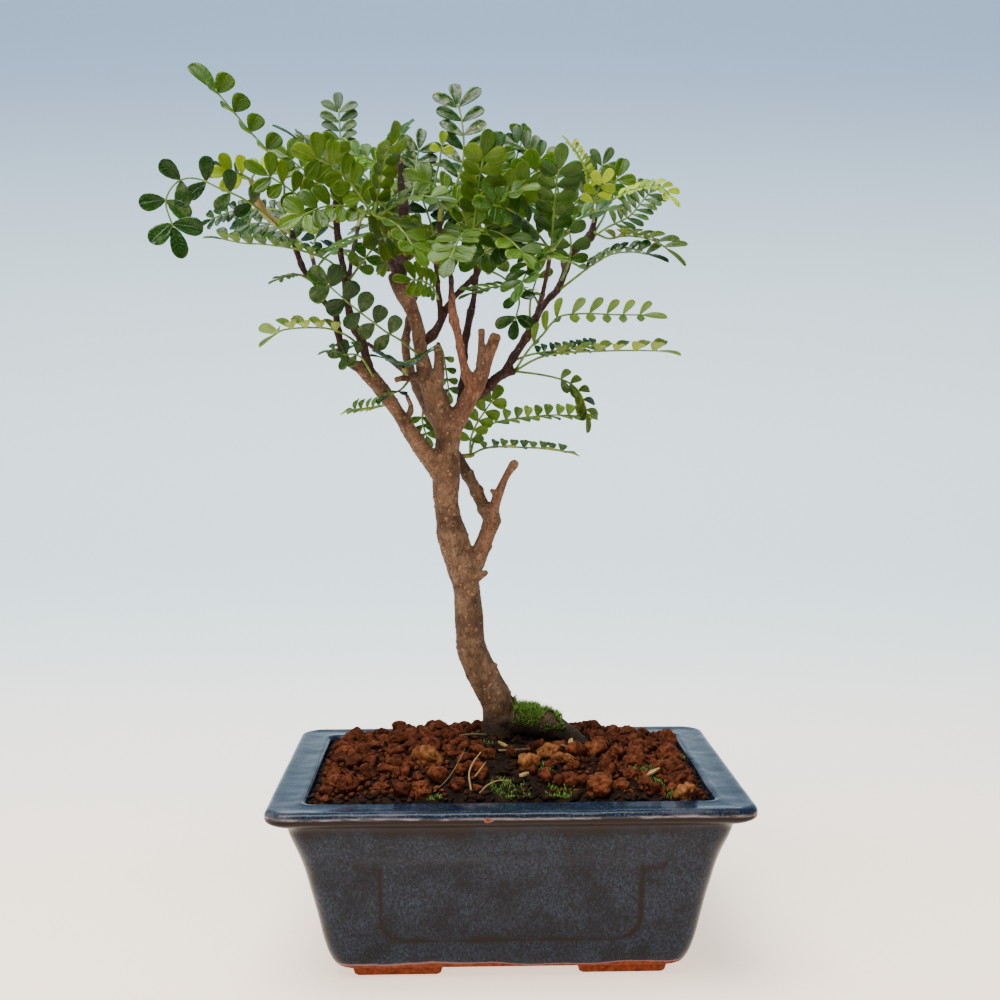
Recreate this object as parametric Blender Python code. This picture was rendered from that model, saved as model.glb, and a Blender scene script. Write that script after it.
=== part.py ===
"""Chinese pepper bonsai: a forked tree with feathery leaves in a glazed rectangular pot.

Lengths are in millimetres inside the script and become metres when a mesh is made.
Sizes are taken from the middle of the pot, X along it, Z up, with the front of the tree
towards -Y and z = 0 a little above the feet. The finished meshes are shifted so that the
origin lies on the table under the middle of the whole plant. Places of wood and leaves are given as (x, z, y): the
x and z at which an eye in front of the tree sees them on the plane y = 0, and the depth.
"""
import math
import random

import bmesh
import bpy
import numpy as np
from mathutils import Vector
from mathutils.bvhtree import BVHTree

MM = 0.001
GAP = 0.3

# Pot, outside measures
RIM_LENGTH = 170.0
RIM_DEPTH = 120.0
RIM_TOP = 63.0
RIM_BAND = 12.5
CORNER_RADIUS = 7.0
FOOT_BOTTOM = -4.2
WALL_BOTTOM = -1.0
FLOOR_TOP = 5.0
DRAIN_RADIUS = 6.0
DRAIN_X = 32.0
SCREEN_SIDE = 20.0
SCREEN_THICKNESS = 1.0

# Soil and stones
SOIL_EDGE = 61.0
SOIL_RISE = 12.0
STONE_COUNT = 32
HOLE_BOTTOM = 47.0

# Leaves
BLADE = 0.66
RIB_HALF = 0.5
NODE_LENGTH = 1.3

# The middle of the whole plant and pot seen from above, which is put over the origin
MIDDLE = np.array([-21.1, 4.8, FOOT_BOTTOM])

# The eye from which the places of wood and leaves are given
EYE = np.array([-16.2, -491.2, 199.0])

# How far a frond's tip may be bent clear of its neighbours: depth and height
BENDS = [(0, 0), (4, 0), (-4, 0), (8, 0), (-8, 0), (12, 0), (-12, 0), (17, 0), (-17, 0), (22, 0),
         (-22, 0), (0, 4), (6, 4), (-6, 4), (0, -4), (6, -4), (-6, -4), (12, 5), (-12, 5),
         (12, -5), (-12, -5), (28, 0), (-28, 0), (20, 6), (-20, 6), (34, 0), (-34, 0),
         (0, 9), (10, 9), (-10, 9), (20, -8), (-20, -8), (40, 0), (-40, 0), (28, 10), (-28, 10)]


def clear_scene():
    for old in list(bpy.data.objects):
        bpy.data.objects.remove(old, do_unlink=True)


def material(name, colour, roughness):
    made = bpy.data.materials.new(name)
    made.use_nodes = True
    shader = made.node_tree.nodes["Principled BSDF"]
    shader.inputs["Base Color"].default_value = (*colour, 1.0)
    shader.inputs["Roughness"].default_value = roughness
    return made


def make_object(name, points, faces, finish=None):
    mesh = bpy.data.meshes.new(name)
    mesh.from_pydata([tuple((p - MIDDLE) * MM) for p in points], [], faces)
    mesh.update()
    made = bpy.data.objects.new(name, mesh)
    bpy.context.scene.collection.objects.link(made)
    if finish:
        mesh.materials.append(finish)
    return made


def boolean(body, tools, operation, solver="EXACT"):
    """Join the tools to the body, or cut them from it, with one applied Boolean on a collection."""
    group = bpy.data.collections.new("tools")
    bpy.context.scene.collection.children.link(group)
    for tool in tools:
        group.objects.link(tool)
        tool.hide_render = True
        tool.display_type = "WIRE"
    step = body.modifiers.new("join", "BOOLEAN")
    step.operation = operation
    step.solver = solver
    step.operand_type = "COLLECTION"
    step.collection = group
    seen_body = body.evaluated_get(bpy.context.evaluated_depsgraph_get())
    result = bpy.data.meshes.new_from_object(seen_body)
    body.modifiers.clear()
    body.data = result
    for tool in list(tools):
        bpy.data.objects.remove(tool, do_unlink=True)
    bpy.data.collections.remove(group)
    tidy_mesh(body.data)
    return body


def tidy_mesh(mesh):
    shape = bmesh.new()
    shape.from_mesh(mesh)
    bmesh.ops.remove_doubles(shape, verts=shape.verts, dist=2e-6)
    bmesh.ops.dissolve_degenerate(shape, edges=shape.edges, dist=2e-6)
    bmesh.ops.triangulate(shape, faces=shape.faces)
    shape.to_mesh(mesh)
    shape.free()


# Vectors and curves

def unit(v):
    return v / max(np.linalg.norm(v), 1e-9)


def seen(x, z, y):
    """World point at depth y that the eye sees at (x, z) on the plane y = 0."""
    on_plane = np.array([x, 0.0, z])
    return EYE + (on_plane - EYE) * (y - EYE[1]) / (0.0 - EYE[1])


def smooth(points, steps=8):
    """Catmull-Rom curve through the points."""
    p = [2 * points[0] - points[1], *points, 2 * points[-1] - points[-2]]
    line = []
    for k in range(1, len(p) - 2):
        for i in range(steps):
            t = i / steps
            line.append(0.5 * (2 * p[k] + (p[k + 1] - p[k - 1]) * t
                               + (2 * p[k - 1] - 5 * p[k] + 4 * p[k + 1] - p[k + 2]) * t ** 2
                               + (3 * p[k] - p[k - 1] - 3 * p[k + 1] + p[k + 2]) * t ** 3))
    line.append(p[-2])
    return np.array(line)


def lengths(line):
    return np.concatenate([[0.0], np.cumsum(np.linalg.norm(np.diff(line, axis=0), axis=1))])


def at(line, run, s):
    return np.array([np.interp(s, run, line[:, k]) for k in range(3)])


def tube(points, radii, sides, cap_scale=0.6):
    """Closed tube along the points, with slightly drawn-in ends."""
    points = [np.asarray(p, float) for p in points]
    ahead = [unit(points[min(i + 1, len(points) - 1)] - points[max(i - 1, 0)])
             for i in range(len(points))]
    side = unit(np.cross(ahead[0], np.array([0.13, 1.0, 0.21])))
    rings = []
    for i, (centre, radius) in enumerate(zip(points, radii)):
        side = unit(side - ahead[i] * np.dot(side, ahead[i]))
        other = np.cross(ahead[i], side)
        turn = [2 * math.pi * k / sides for k in range(sides)]
        rings.append([centre + radius * (side * math.cos(a) + other * math.sin(a)) for a in turn])
    last = points[-1] + ahead[-1] * radii[-1] * 0.35
    rings.append([last + (p - points[-1]) * cap_scale for p in rings[-1]])
    verts = [p for ring in rings for p in ring]
    faces = []
    for r in range(len(rings) - 1):
        for k in range(sides):
            a, b = r * sides + k, r * sides + (k + 1) % sides
            faces.append((a, b, b + sides, a + sides))
    faces.append(tuple(range(sides - 1, -1, -1)))
    top = (len(rings) - 1) * sides
    faces.append(tuple(range(top, top + sides)))
    return verts, faces


# Pot

def outline(half_x, half_y, radius, z, arc_steps=3):
    """Rounded rectangle, counter-clockwise seen from above."""
    ring = []
    corners = ((1, 1, 0), (-1, 1, 90), (-1, -1, 180), (1, -1, 270))
    for sx, sy, start in corners:
        for k in range(arc_steps + 1):
            a = math.radians(start + 90 * k / arc_steps)
            ring.append(np.array([sx * (half_x - radius) + radius * math.cos(a),
                                  sy * (half_y - radius) + radius * math.sin(a), z]))
    return ring


def stack(rings):
    """Closed solid through rings of equal count, from its bottom ring to its top ring."""
    count = len(rings[0])
    verts = [p for ring in rings for p in ring]
    faces = [tuple(range(count - 1, -1, -1))]
    for r in range(len(rings) - 1):
        for k in range(count):
            a, b = r * count + k, r * count + (k + 1) % count
            faces.append((a, b, b + count, a + count))
    top = (len(rings) - 1) * count
    faces.append(tuple(range(top, top + count)))
    return verts, faces


HALF_X = RIM_LENGTH / 2
NARROWER = (RIM_LENGTH - RIM_DEPTH) / 2
INNER_X = HALF_X - RIM_BAND
INNER_LOW = 59.5

# (half length, height) of the outer wall from the base to the outer edge of the rim
OUTER_WALL = ((61.0, WALL_BOTTOM), (63.6, 0.8), (65.4, 5.0), (67.0, 11.0), (68.5, 18.6), (70.7, 29.0),
              (73.6, 41.0), (77.2, 51.0), (78.2, 55.2), (83.6, 58.0), (85.0, 59.6), (85.0, 61.6),
              (84.0, RIM_TOP))
INNER_WALL = ((INNER_X, RIM_TOP), (INNER_X - 1.2, 61.4), (INNER_LOW, FLOOR_TOP + 1.5),
              (INNER_LOW - 2.0, FLOOR_TOP))


def prism(outline_points, low, high):
    """Straight prism over an outline of (x, y) points, counter-clockwise from above."""
    low_ring = [np.array([x, y, low]) for x, y in outline_points]
    high_ring = [np.array([x, y, high]) for x, y in outline_points]
    return stack([low_ring, high_ring])


def foot(sx, sy):
    """Corner foot in an L, a little narrower at the ground."""
    outer_x, outer_y, arm_x, arm_y, width = 57.5, 36.5, 34.0, 20.0, 11.0
    shape = ((0, 0), (arm_x, 0), (arm_x, width), (width, width), (width, arm_y), (0, arm_y))
    rings = []
    for z, draw_in in ((FOOT_BOTTOM, 1.4), (WALL_BOTTOM + 1.0, 0.0)):
        ring = []
        for px, py in shape:
            qx = px + draw_in if px < arm_x / 2 and px == 0 else px - draw_in
            qy = py + draw_in if py == 0 else py - draw_in
            ring.append(np.array([sx * (outer_x - qx), sy * (outer_y - qy), z]))
        rings.append(ring if sx * sy > 0 else ring[::-1])
    return stack(rings)


def panel_cutter(half_width, shoulder, wall_low, wall_high, low, high, radius, depth):
    """Sunk panel of a long wall: rounded below, with a longer groove along its top.

    wall_low and wall_high are (distance from the middle, height) of the wall's face.
    """
    groove = 2.6
    arc = []
    for k in range(4):
        a = math.radians(180 + 30 * k)
        arc.append((-half_width + radius + radius * math.cos(a), low + radius + radius * math.sin(a)))
    left = [(-shoulder, high), (-shoulder, high - groove), (-half_width, high - groove), *arc]
    shape = left + [(-x, z) for x, z in reversed(left)]
    slope = (wall_high[0] - wall_low[0]) / (wall_high[1] - wall_low[1])
    near, far = [], []
    for x, z in shape:
        face_y = wall_low[0] + slope * (z - wall_low[1])
        near.append(np.array([x, -(face_y + 6.0), z]))
        far.append(np.array([x, -(face_y - depth), z]))
    return near, far


def turned(points, quarter_turns):
    for _ in range(quarter_turns):
        points = [np.array([-p[1], p[0], p[2]]) for p in points]
    return points


def build_pot(finish):
    rings = [outline(x, x - NARROWER, CORNER_RADIUS, z) for x, z in OUTER_WALL]
    rings += [outline(x, x - NARROWER, CORNER_RADIUS - 2.5, z) for x, z in INNER_WALL]
    pot = make_object("pot", *stack(rings), finish)
    feet = [make_object("foot", *foot(sx, sy)) for sx in (1, -1) for sy in (1, -1)]
    boolean(pot, feet, "UNION")
    cutters = []
    for turn, half, shoulder, face in ((0, 46.0, 54.0, 0.0), (2, 46.0, 54.0, 0.0),
                                       (1, 22.0, 29.0, NARROWER), (3, 22.0, 29.0, NARROWER)):
        low_face = (67.4 - NARROWER + face, 13.5)
        high_face = (73.6 - NARROWER + face, 41.0)
        near, far = panel_cutter(half, shoulder, low_face, high_face, 11.5, 42.0, 8.0, 0.7)
        verts, faces = stack([turned(far, turn), turned(near, turn)])
        cutters.append(make_object("panel", verts, faces))
    for sx in (1, -1):
        hole = [(sx * DRAIN_X + DRAIN_RADIUS * math.cos(2 * math.pi * k / 12),
                 DRAIN_RADIUS * math.sin(2 * math.pi * k / 12)) for k in range(12)]
        cutters.append(make_object("drain", *prism(hole, WALL_BOTTOM - 3, FLOOR_TOP + 4)))
    for cutter in cutters:
        face_outwards(cutter)
    boolean(pot, cutters, "DIFFERENCE")
    return pot


def face_outwards(body):
    shape = bmesh.new()
    shape.from_mesh(body.data)
    bmesh.ops.recalc_face_normals(shape, faces=shape.faces)
    shape.to_mesh(body.data)
    shape.free()


def build_screens(finish):
    """Square drainage meshes that lie on the floor over the two drain holes."""
    low = FLOOR_TOP + GAP
    half = SCREEN_SIDE / 2
    opening, pitch = 3.1, 8.6
    for number, sx in enumerate((-1, 1), 1):
        cx = sx * DRAIN_X
        plate = [(cx - half, -half), (cx + half, -half), (cx + half, half), (cx - half, half)]
        screen = make_object(f"drain_screen_{number}",
                             *prism(plate, low, low + SCREEN_THICKNESS), finish)
        holes = []
        for i in (-0.5, 0.5):
            for j in (-0.5, 0.5):
                x, y = cx + i * pitch, j * pitch
                square = [(x - opening, y - opening), (x + opening, y - opening),
                          (x + opening, y + opening), (x - opening, y + opening)]
                holes.append(make_object("hole", *prism(square, low - 2, low + 3)))
        boolean(screen, holes, "DIFFERENCE")


# Soil

def soil_height(x, y):
    ex = max(0.0, 1 - abs(x / INNER_X) ** 2.2)
    ey = max(0.0, 1 - abs(y / (INNER_X - NARROWER)) ** 2.2)
    return SOIL_EDGE + SOIL_RISE * (ex * ey) ** 0.8


def stone_solid(centre, size, rng):
    """Crumb of clay: a six-sided foot in the soil that narrows to a three-cornered top."""
    start = rng.uniform(0, math.pi)
    verts = []
    for count, height, reach in ((6, -0.62, 0.95), (3, 0.62, 0.62)):
        for k in range(count):
            a = start + 2 * math.pi * k / count
            r = size * reach * rng.uniform(0.86, 1.1)
            verts.append(centre + np.array([r * math.cos(a), 0.88 * r * math.sin(a),
                                            size * height * rng.uniform(0.88, 1.1)]))
    faces = [(2, 1, 0), (3, 2, 0), (4, 3, 0), (5, 4, 0), (6, 7, 8)]
    for k in range(3):
        a, b, c, top, after = 2 * k, 2 * k + 1, (2 * k + 2) % 6, 6 + k, 6 + (k + 1) % 3
        faces += [(a, b, top), (b, after, top), (b, c, after)]
    return verts, faces


def stone_places(rng):
    """Stones crowd the two ends and the back, and leave the middle of the front bare."""
    places = []
    tries = 0
    while len(places) < STONE_COUNT and tries < 6000:
        tries += 1
        size = rng.uniform(2.7, 5.2)
        x = rng.uniform(-1, 1) * (INNER_X - 2.5 - size)
        y = rng.uniform(-1, 1) * (INNER_X - NARROWER - 2.5 - size)
        bare = math.exp(-((x - 2) / 24) ** 2) * (1.0 if y < 12 else 0.35)
        if rng.random() < bare:
            continue
        root = -8 - size < x < 36 + size and abs(y - 3) < 9 + size
        if root or any(math.hypot(x - a, y - b) < (size + c) * 0.93 for a, b, c in places):
            continue
        places.append((x, y, size))
    return places


def soil_ring(half_x, half_y, radius, z):
    """Rounded rectangle whose sides have points between the corners too."""
    ring = outline(half_x, half_y, radius, z, arc_steps=2)
    full = []
    for i, p in enumerate(ring):
        after = ring[(i + 1) % len(ring)]
        full.append(p)
        if i in (2, 8):
            full += [p + (after - p) * t for t in (0.2, 0.4, 0.6, 0.8)]
        if i in (5, 11):
            full += [p + (after - p) * t for t in (1 / 3, 2 / 3)]
    return full


def build_soil(finish, wood_rows):
    top_rings = []
    for share in (1.0, 0.84, 0.64, 0.4, 0.14):
        ring = soil_ring((INNER_X - 1.6) * share, (INNER_X - NARROWER - 1.6) * share, 5.0 * share, 0)
        top_rings.append([np.array([p[0], p[1], soil_height(p[0], p[1])]) for p in ring])
    low_x = INNER_LOW - 2.6
    rings = [soil_ring(low_x, low_x - NARROWER, 3.5, FLOOR_TOP + GAP),
             soil_ring(INNER_LOW - 0.7, INNER_LOW - 0.7 - NARROWER, 4.2, FLOOR_TOP + 2.4)]
    soil = make_object("soil", *stack(rings + top_rings), finish)
    rng = random.Random(7)
    stones = []
    for x, y, size in stone_places(rng):
        centre = np.array([x, y, soil_height(x, y) + 0.12 * size])
        stones.append(make_object("stone", *stone_solid(centre, size, rng)))
    boolean(soil, stones, "UNION")
    cutters = [make_object("hole", *tube(points, [r + GAP for r in radii], sides))
               for points, radii, sides in wood_rows]
    for sx in (-1, 1):
        half = SCREEN_SIDE / 2 + GAP
        cx = sx * DRAIN_X
        plate = [(cx - half, -half), (cx + half, -half), (cx + half, half), (cx - half, half)]
        high = FLOOR_TOP + 2 * GAP + SCREEN_THICKNESS
        cutters.append(make_object("pocket", *prism(plate, FLOOR_TOP - 1, high)))
    boolean(soil, cutters, "DIFFERENCE")
    return soil


# Wood: each branch has its sides and its rows of (x, z, y, radius)

WOOD = {
    "trunk": (9, [(-2.5, HOLE_BOTTOM + 0.6, 4, 4.6), (-2.5, 66, 4, 6.6), (-3, 78, 4, 6.4),
                   (-3.6, 87, 3.5, 6.6), (-7.2, 94.5, 3, 5.9), (-10.2, 100.5, 2.4, 6.1),
                   (-13.2, 108, 1.8, 6.3), (-13.9, 114, 1.4, 5.5), (-14.4, 122, 1, 5.2),
                   (-15.2, 131, 0.6, 5.3), (-16.4, 138, 0.3, 6.1), (-18.6, 145, 0, 5.6),
                   (-20.6, 152, -0.4, 5.8), (-22.2, 160, -0.8, 5.0), (-22.9, 168, -1, 4.9),
                   (-22.6, 178, -1.2, 5.0), (-22, 188, -1.2, 5.0), (-22.2, 194, -1.2, 5.0)]),
    "root": (7, [(-2, 79.5, 4, 5.2), (6, 80.6, 3, 6.0), (13, 79, 2, 5.6), (20, 76, 1, 4.6),
                 (27, 72, 0, 3.4), (33, 67, -1, 2.4)]),
    "left_leader": (6, [(-22.5, 190, -1.2, 4.2), (-24.8, 198, -1.6, 4.5), (-27.6, 206, -2.2, 4.4),
                        (-30.2, 212, -2.6, 3.6), (-31.8, 220, -3, 2.6), (-33.3, 230, -3.2, 2.5),
                        (-35.6, 237, -3.4, 2.8), (-39.2, 245, -3.6, 3.9), (-41.3, 249.5, -3.8, 3.2)]),
    "left_stem": (5, [(-40, 247, -3.8, 2.8), (-38.5, 255, -4, 2.0), (-38.7, 265, -4.2, 1.6),
                      (-38, 275, -4.4, 1.8), (-39, 282, -4.6, 1.2), (-39.3, 292, -5, 1.1)]),
    "left_limb": (6, [(-23, 172, -1.5, 4.2), (-28.5, 180, -3, 3.6), (-34, 187.5, -4.5, 3.0),
                      (-39.8, 196.5, -6, 2.7), (-45.5, 205, -7.5, 2.8), (-50.5, 211, -8.5, 2.9),
                      (-55, 215, -9, 2.4), (-57.8, 216, -9.3, 1.8)]),
    "outer_twig": (5, [(-56.5, 215, -9, 1.6), (-60.5, 218.5, -9.4, 1.7), (-62.3, 225, -9.8, 1.4),
                       (-63.3, 231, -10, 1.3), (-64, 235.5, -10.2, 1.4), (-68.5, 240, -10.8, 1.1),
                       (-71, 246, -11.2, 1.1), (-75, 250.5, -11.6, 1.2), (-77.3, 256, -12, 1.1),
                       (-79, 262, -12.4, 1.3), (-79.8, 265.5, -12.6, 1.2)]),
    "inner_twig": (5, [(-51.2, 212, -8.5, 2.0), (-52.8, 220, -9, 1.7), (-54.5, 226, -9.4, 1.9),
                       (-57.5, 231.5, -9.6, 1.7), (-59.5, 240, -9.4, 1.3), (-60.5, 250, -9, 1.2),
                       (-62, 259, -8.6, 1.3), (-63, 268, -8.2, 1.3), (-63.3, 276.5, -8, 1.3)]),
    "inner_back": (4, [(-59.2, 238, -9.4, 0.9), (-58.6, 248, -5, 0.9), (-57, 258, 3, 0.9),
                       (-55, 267, 12, 0.9)]),
    "right_leader": (6, [(-21, 191, -1, 4.2), (-16.4, 199, -0.6, 3.8), (-13.2, 205, -0.3, 3.4),
                         (-10.4, 210, 0, 3.1), (-8.4, 215, 0.2, 2.7), (-6.3, 220, 0.4, 2.3),
                         (-4.6, 224.5, 0.5, 2.4), (-3.8, 227, 0.6, 2.2)]),
    "right_stub": (4, [(-9.8, 210, 0.5, 1.7), (-9.6, 218, 0.8, 1.4), (-9.3, 226, 1, 1.3),
                       (-9.2, 229, 1, 1.4)]),
    "left_stub": (4, [(-27.5, 206, -3.5, 2.2), (-25.3, 212, -5, 2.0), (-25.2, 218, -5.5, 1.8),
                      (-26, 223, -6, 1.4)]),
    "pink_twig": (5, [(-12.6, 206, -1.5, 2.4), (-15, 212.5, -2.2, 2.0), (-16.6, 219, -3, 1.5),
                      (-18, 227, -3.6, 1.6), (-19.8, 234, -4, 1.8), (-20.4, 242, -4.2, 1.2),
                      (-20.8, 250, -4.6, 1.0), (-23, 258, -6, 1.0), (-24.6, 265, -8, 1.0),
                      (-24.6, 269.5, -9, 1.1)]),
    "dark_twig": (4, [(-17.5, 200, 2.4, 1.7), (-16.6, 208, 5, 1.5), (-15.6, 217, 6, 1.1),
                      (-15.2, 225, 6.4, 1.4), (-13.8, 233, 6.6, 1.5), (-12, 241, 6.8, 1.1),
                      (-11, 249, 7, 1.1), (-9.8, 254.5, 7, 2.0), (-6.8, 257.5, 7, 1.3)]),
    "cross_twig": (4, [(-31.8, 223.5, -2.5, 1.7), (-28, 226.5, -0.5, 1.9), (-24.5, 232, 1, 1.5),
                       (-20.8, 239.5, 3, 1.1), (-15.5, 245, 5, 1.2), (-11, 249.5, 6.8, 1.3)]),
    "cross_spur": (4, [(-24.6, 231.5, 1, 1.2), (-24.8, 239, 0, 1.1), (-25.7, 246, -1, 1.0),
                       (-26.1, 253.5, -2, 1.1)]),
    "right_knob": (6, [(-12.2, 203.5, 2.0, 2.0), (-7.8, 206.4, 4.2, 2.0), (-4, 210.5, 5.5, 2.0),
                       (-0.5, 212.8, 6.2, 1.9), (3.2, 213.4, 6.8, 1.5)]),
    "right_twig": (5, [(-1.8, 211.3, 6, 1.8), (2, 217.5, 7, 1.6), (5.3, 222.5, 8, 1.6),
                       (8.7, 228, 8.5, 1.7), (11.5, 234, 8.8, 1.4), (16, 240.5, 9, 1.2),
                       (19.5, 244, 9, 1.5), (22, 250, 8.6, 1.3), (24.5, 256.5, 8, 1.3),
                       (27.5, 260.5, 7.6, 1.8), (31.5, 263.5, 7.2, 1.7), (32.8, 268, 7, 1.2),
                       (33.6, 272.3, 6.8, 1.3)]),
    "side_branch": (6, [(-14.5, 134, 1, 3.6), (-11.6, 141, 1.2, 3.4), (-9.3, 147, 1.6, 3.2),
                        (-7.2, 152.5, 2, 3.3), (-5.4, 157.5, 2.2, 3.8), (-4.8, 161, 2.4, 2.3),
                        (-3.4, 166, 2.4, 1.9), (-1.4, 171, 2.4, 1.6), (0.9, 175.5, 2.4, 1.6),
                        (2.8, 178.2, 2.4, 2.1), (3.7, 179.4, 2.4, 1.5)]),
    "side_spur": (4, [(-3.6, 166.5, 2.4, 1.2), (-5.8, 168.8, 1.8, 0.9)]),
    "side_bud": (4, [(-11.5, 135.6, -1.5, 2.2), (-8.6, 136.9, -3, 1.4), (-7.4, 137.4, -3.6, 1.0)]),
    "back_branch": (5, [(-6.2, 157, 2.5, 2.6), (-9.5, 164.5, 4.5, 2.5), (-13.5, 172.5, 7.5, 2.3),
                        (-18, 180.5, 11, 2.2), (-24, 190, 14, 2.1), (-30, 200, 16.5, 2.0),
                        (-35, 211, 18, 1.8), (-37.8, 222, 19, 1.7), (-36.4, 232, 20, 1.5),
                        (-34, 242, 24, 1.2), (-30.5, 252, 32, 1.0), (-28, 261, 40, 0.9)]),
    "limb_spur": (4, [(-38.4, 194.5, -6.5, 1.5), (-35.8, 199.5, -9.5, 1.0), (-37.4, 204.5, -10.5, 0.9)]),
    "leader_spur": (4, [(-31, 212.5, -4, 1.6), (-37.8, 211.2, -8, 1.1), (-41.5, 210.3, -10, 1.2)]),
    "front_twig_left": (4, [(-41, 249, -5, 1.6), (-43.5, 255, -13, 1.1), (-46.5, 262, -23, 0.9),
                            (-48.5, 268, -31, 0.9)]),
    "front_twig_mid": (4, [(-20.8, 250, -4.6, 0.9), (-18, 256, -14, 0.9), (-14, 262, -24, 0.9)]),
    "front_twig_right": (4, [(11.5, 234, 8.4, 1.2), (13.4, 241, -2, 1.0), (15.2, 249, -12, 0.9),
                             (16.4, 256, -20, 0.9)]),
    "back_twig_left": (4, [(-40.4, 248.5, -2.5, 1.6), (-42, 257, 8, 1.0), (-43.4, 266, 20, 0.9),
                           (-44.5, 274, 30, 0.9)]),
    "back_twig_mid": (4, [(-9, 255.5, 7, 1.3), (-5.4, 262, 18, 1.0), (-1.6, 268, 30, 0.9)]),
    "back_twig_right": (4, [(22, 250, 8.6, 1.0), (20.5, 257, 20, 0.9), (17.6, 264, 32, 0.9)]),
    "back_twig_outer": (4, [(-68.3, 240, -10.6, 1.0), (-70, 247, 2, 0.9), (-72, 255, 14, 0.9)]),
    "back_twig_gap": (4, [(-30, 200, 16.5, 1.4), (-27, 212, 26, 1.0), (-25.5, 224, 32, 0.9)]),
    "back_twig_low": (4, [(-35, 211, 18, 1.4), (-44, 218, 28, 1.0), (-52, 224, 36, 0.9)]),
}


def wood_rows(names=None):
    rows = []
    for name, (sides, stations) in WOOD.items():
        if names is None or name in names:
            points = [seen(x, z, y) for x, z, y, _ in stations]
            rows.append((points, [r for *_, r in stations], sides))
    return rows


def build_wood(finish):
    parts = [make_object("branch", *tube(*row)) for row in wood_rows()]
    trunk = parts[0]
    trunk.name = "trunk"
    trunk.data.materials.append(finish)
    boolean(trunk, parts[1:], "UNION")
    return trunk


# Fronds

def frond(path, pairs, leaf, wide=0.6, turn=0, fold=12, twist=0, first=0.35, spread=65, end=1.15,
          grow=(0.9, 1.05), tone="mid"):
    """One compound leaf.

    path starts at the wood; pairs of leaflets, leaf long and leaf * wide across, stand from the
    share first of the rib to its end, which one more leaflet closes. turn tells where the upper
    face looks: 0 to the eye, 90 up. fold lifts both rows of leaflets from the flat, twist turns
    each one about its own length, spread is its angle to the rib, and grow is the size of the
    first and last pair. tone names the colour of the leaf.
    """
    return dict(path=path, pairs=pairs, leaf=leaf, wide=wide, turn=turn, fold=fold, twist=twist,
                first=first, spread=spread, end=end, grow=grow, tone=tone)


def spray(name, branch, *fronds, stem=None):
    """Fronds on one twig; stem is (x, z, y, radius) rows of the green shoot that they share."""
    return dict(name=name, branch=branch, fronds=fronds, stem=stem)


def rosette(hub, onward, reach, tone, headings):
    """Fronds that spread from the end of one shoot; headings are (x, rise, y)."""
    hub, onward = np.array(hub, float), unit(np.array(onward, float))
    fronds = []
    for i, heading in enumerate(headings):
        foot = hub - onward * 1.5 * (i % 3)
        span = unit(np.array(heading, float)) * reach * (1 - 0.07 * (i % 3))
        arch = np.array([0, 0.16 * reach, 0])
        path = [tuple(foot)] + [tuple(foot + span * t + arch * math.sin(math.pi * t * 0.9))
                                for t in (0.34, 0.68, 1.0)]
        fronds.append(frond(path, 2, 8.5 - 0.3 * (i % 3), wide=0.68, turn=(25, 55, 78, 40, 66)[i % 5],
                            fold=14, first=0.42, tone=tone))
    return fronds


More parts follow.
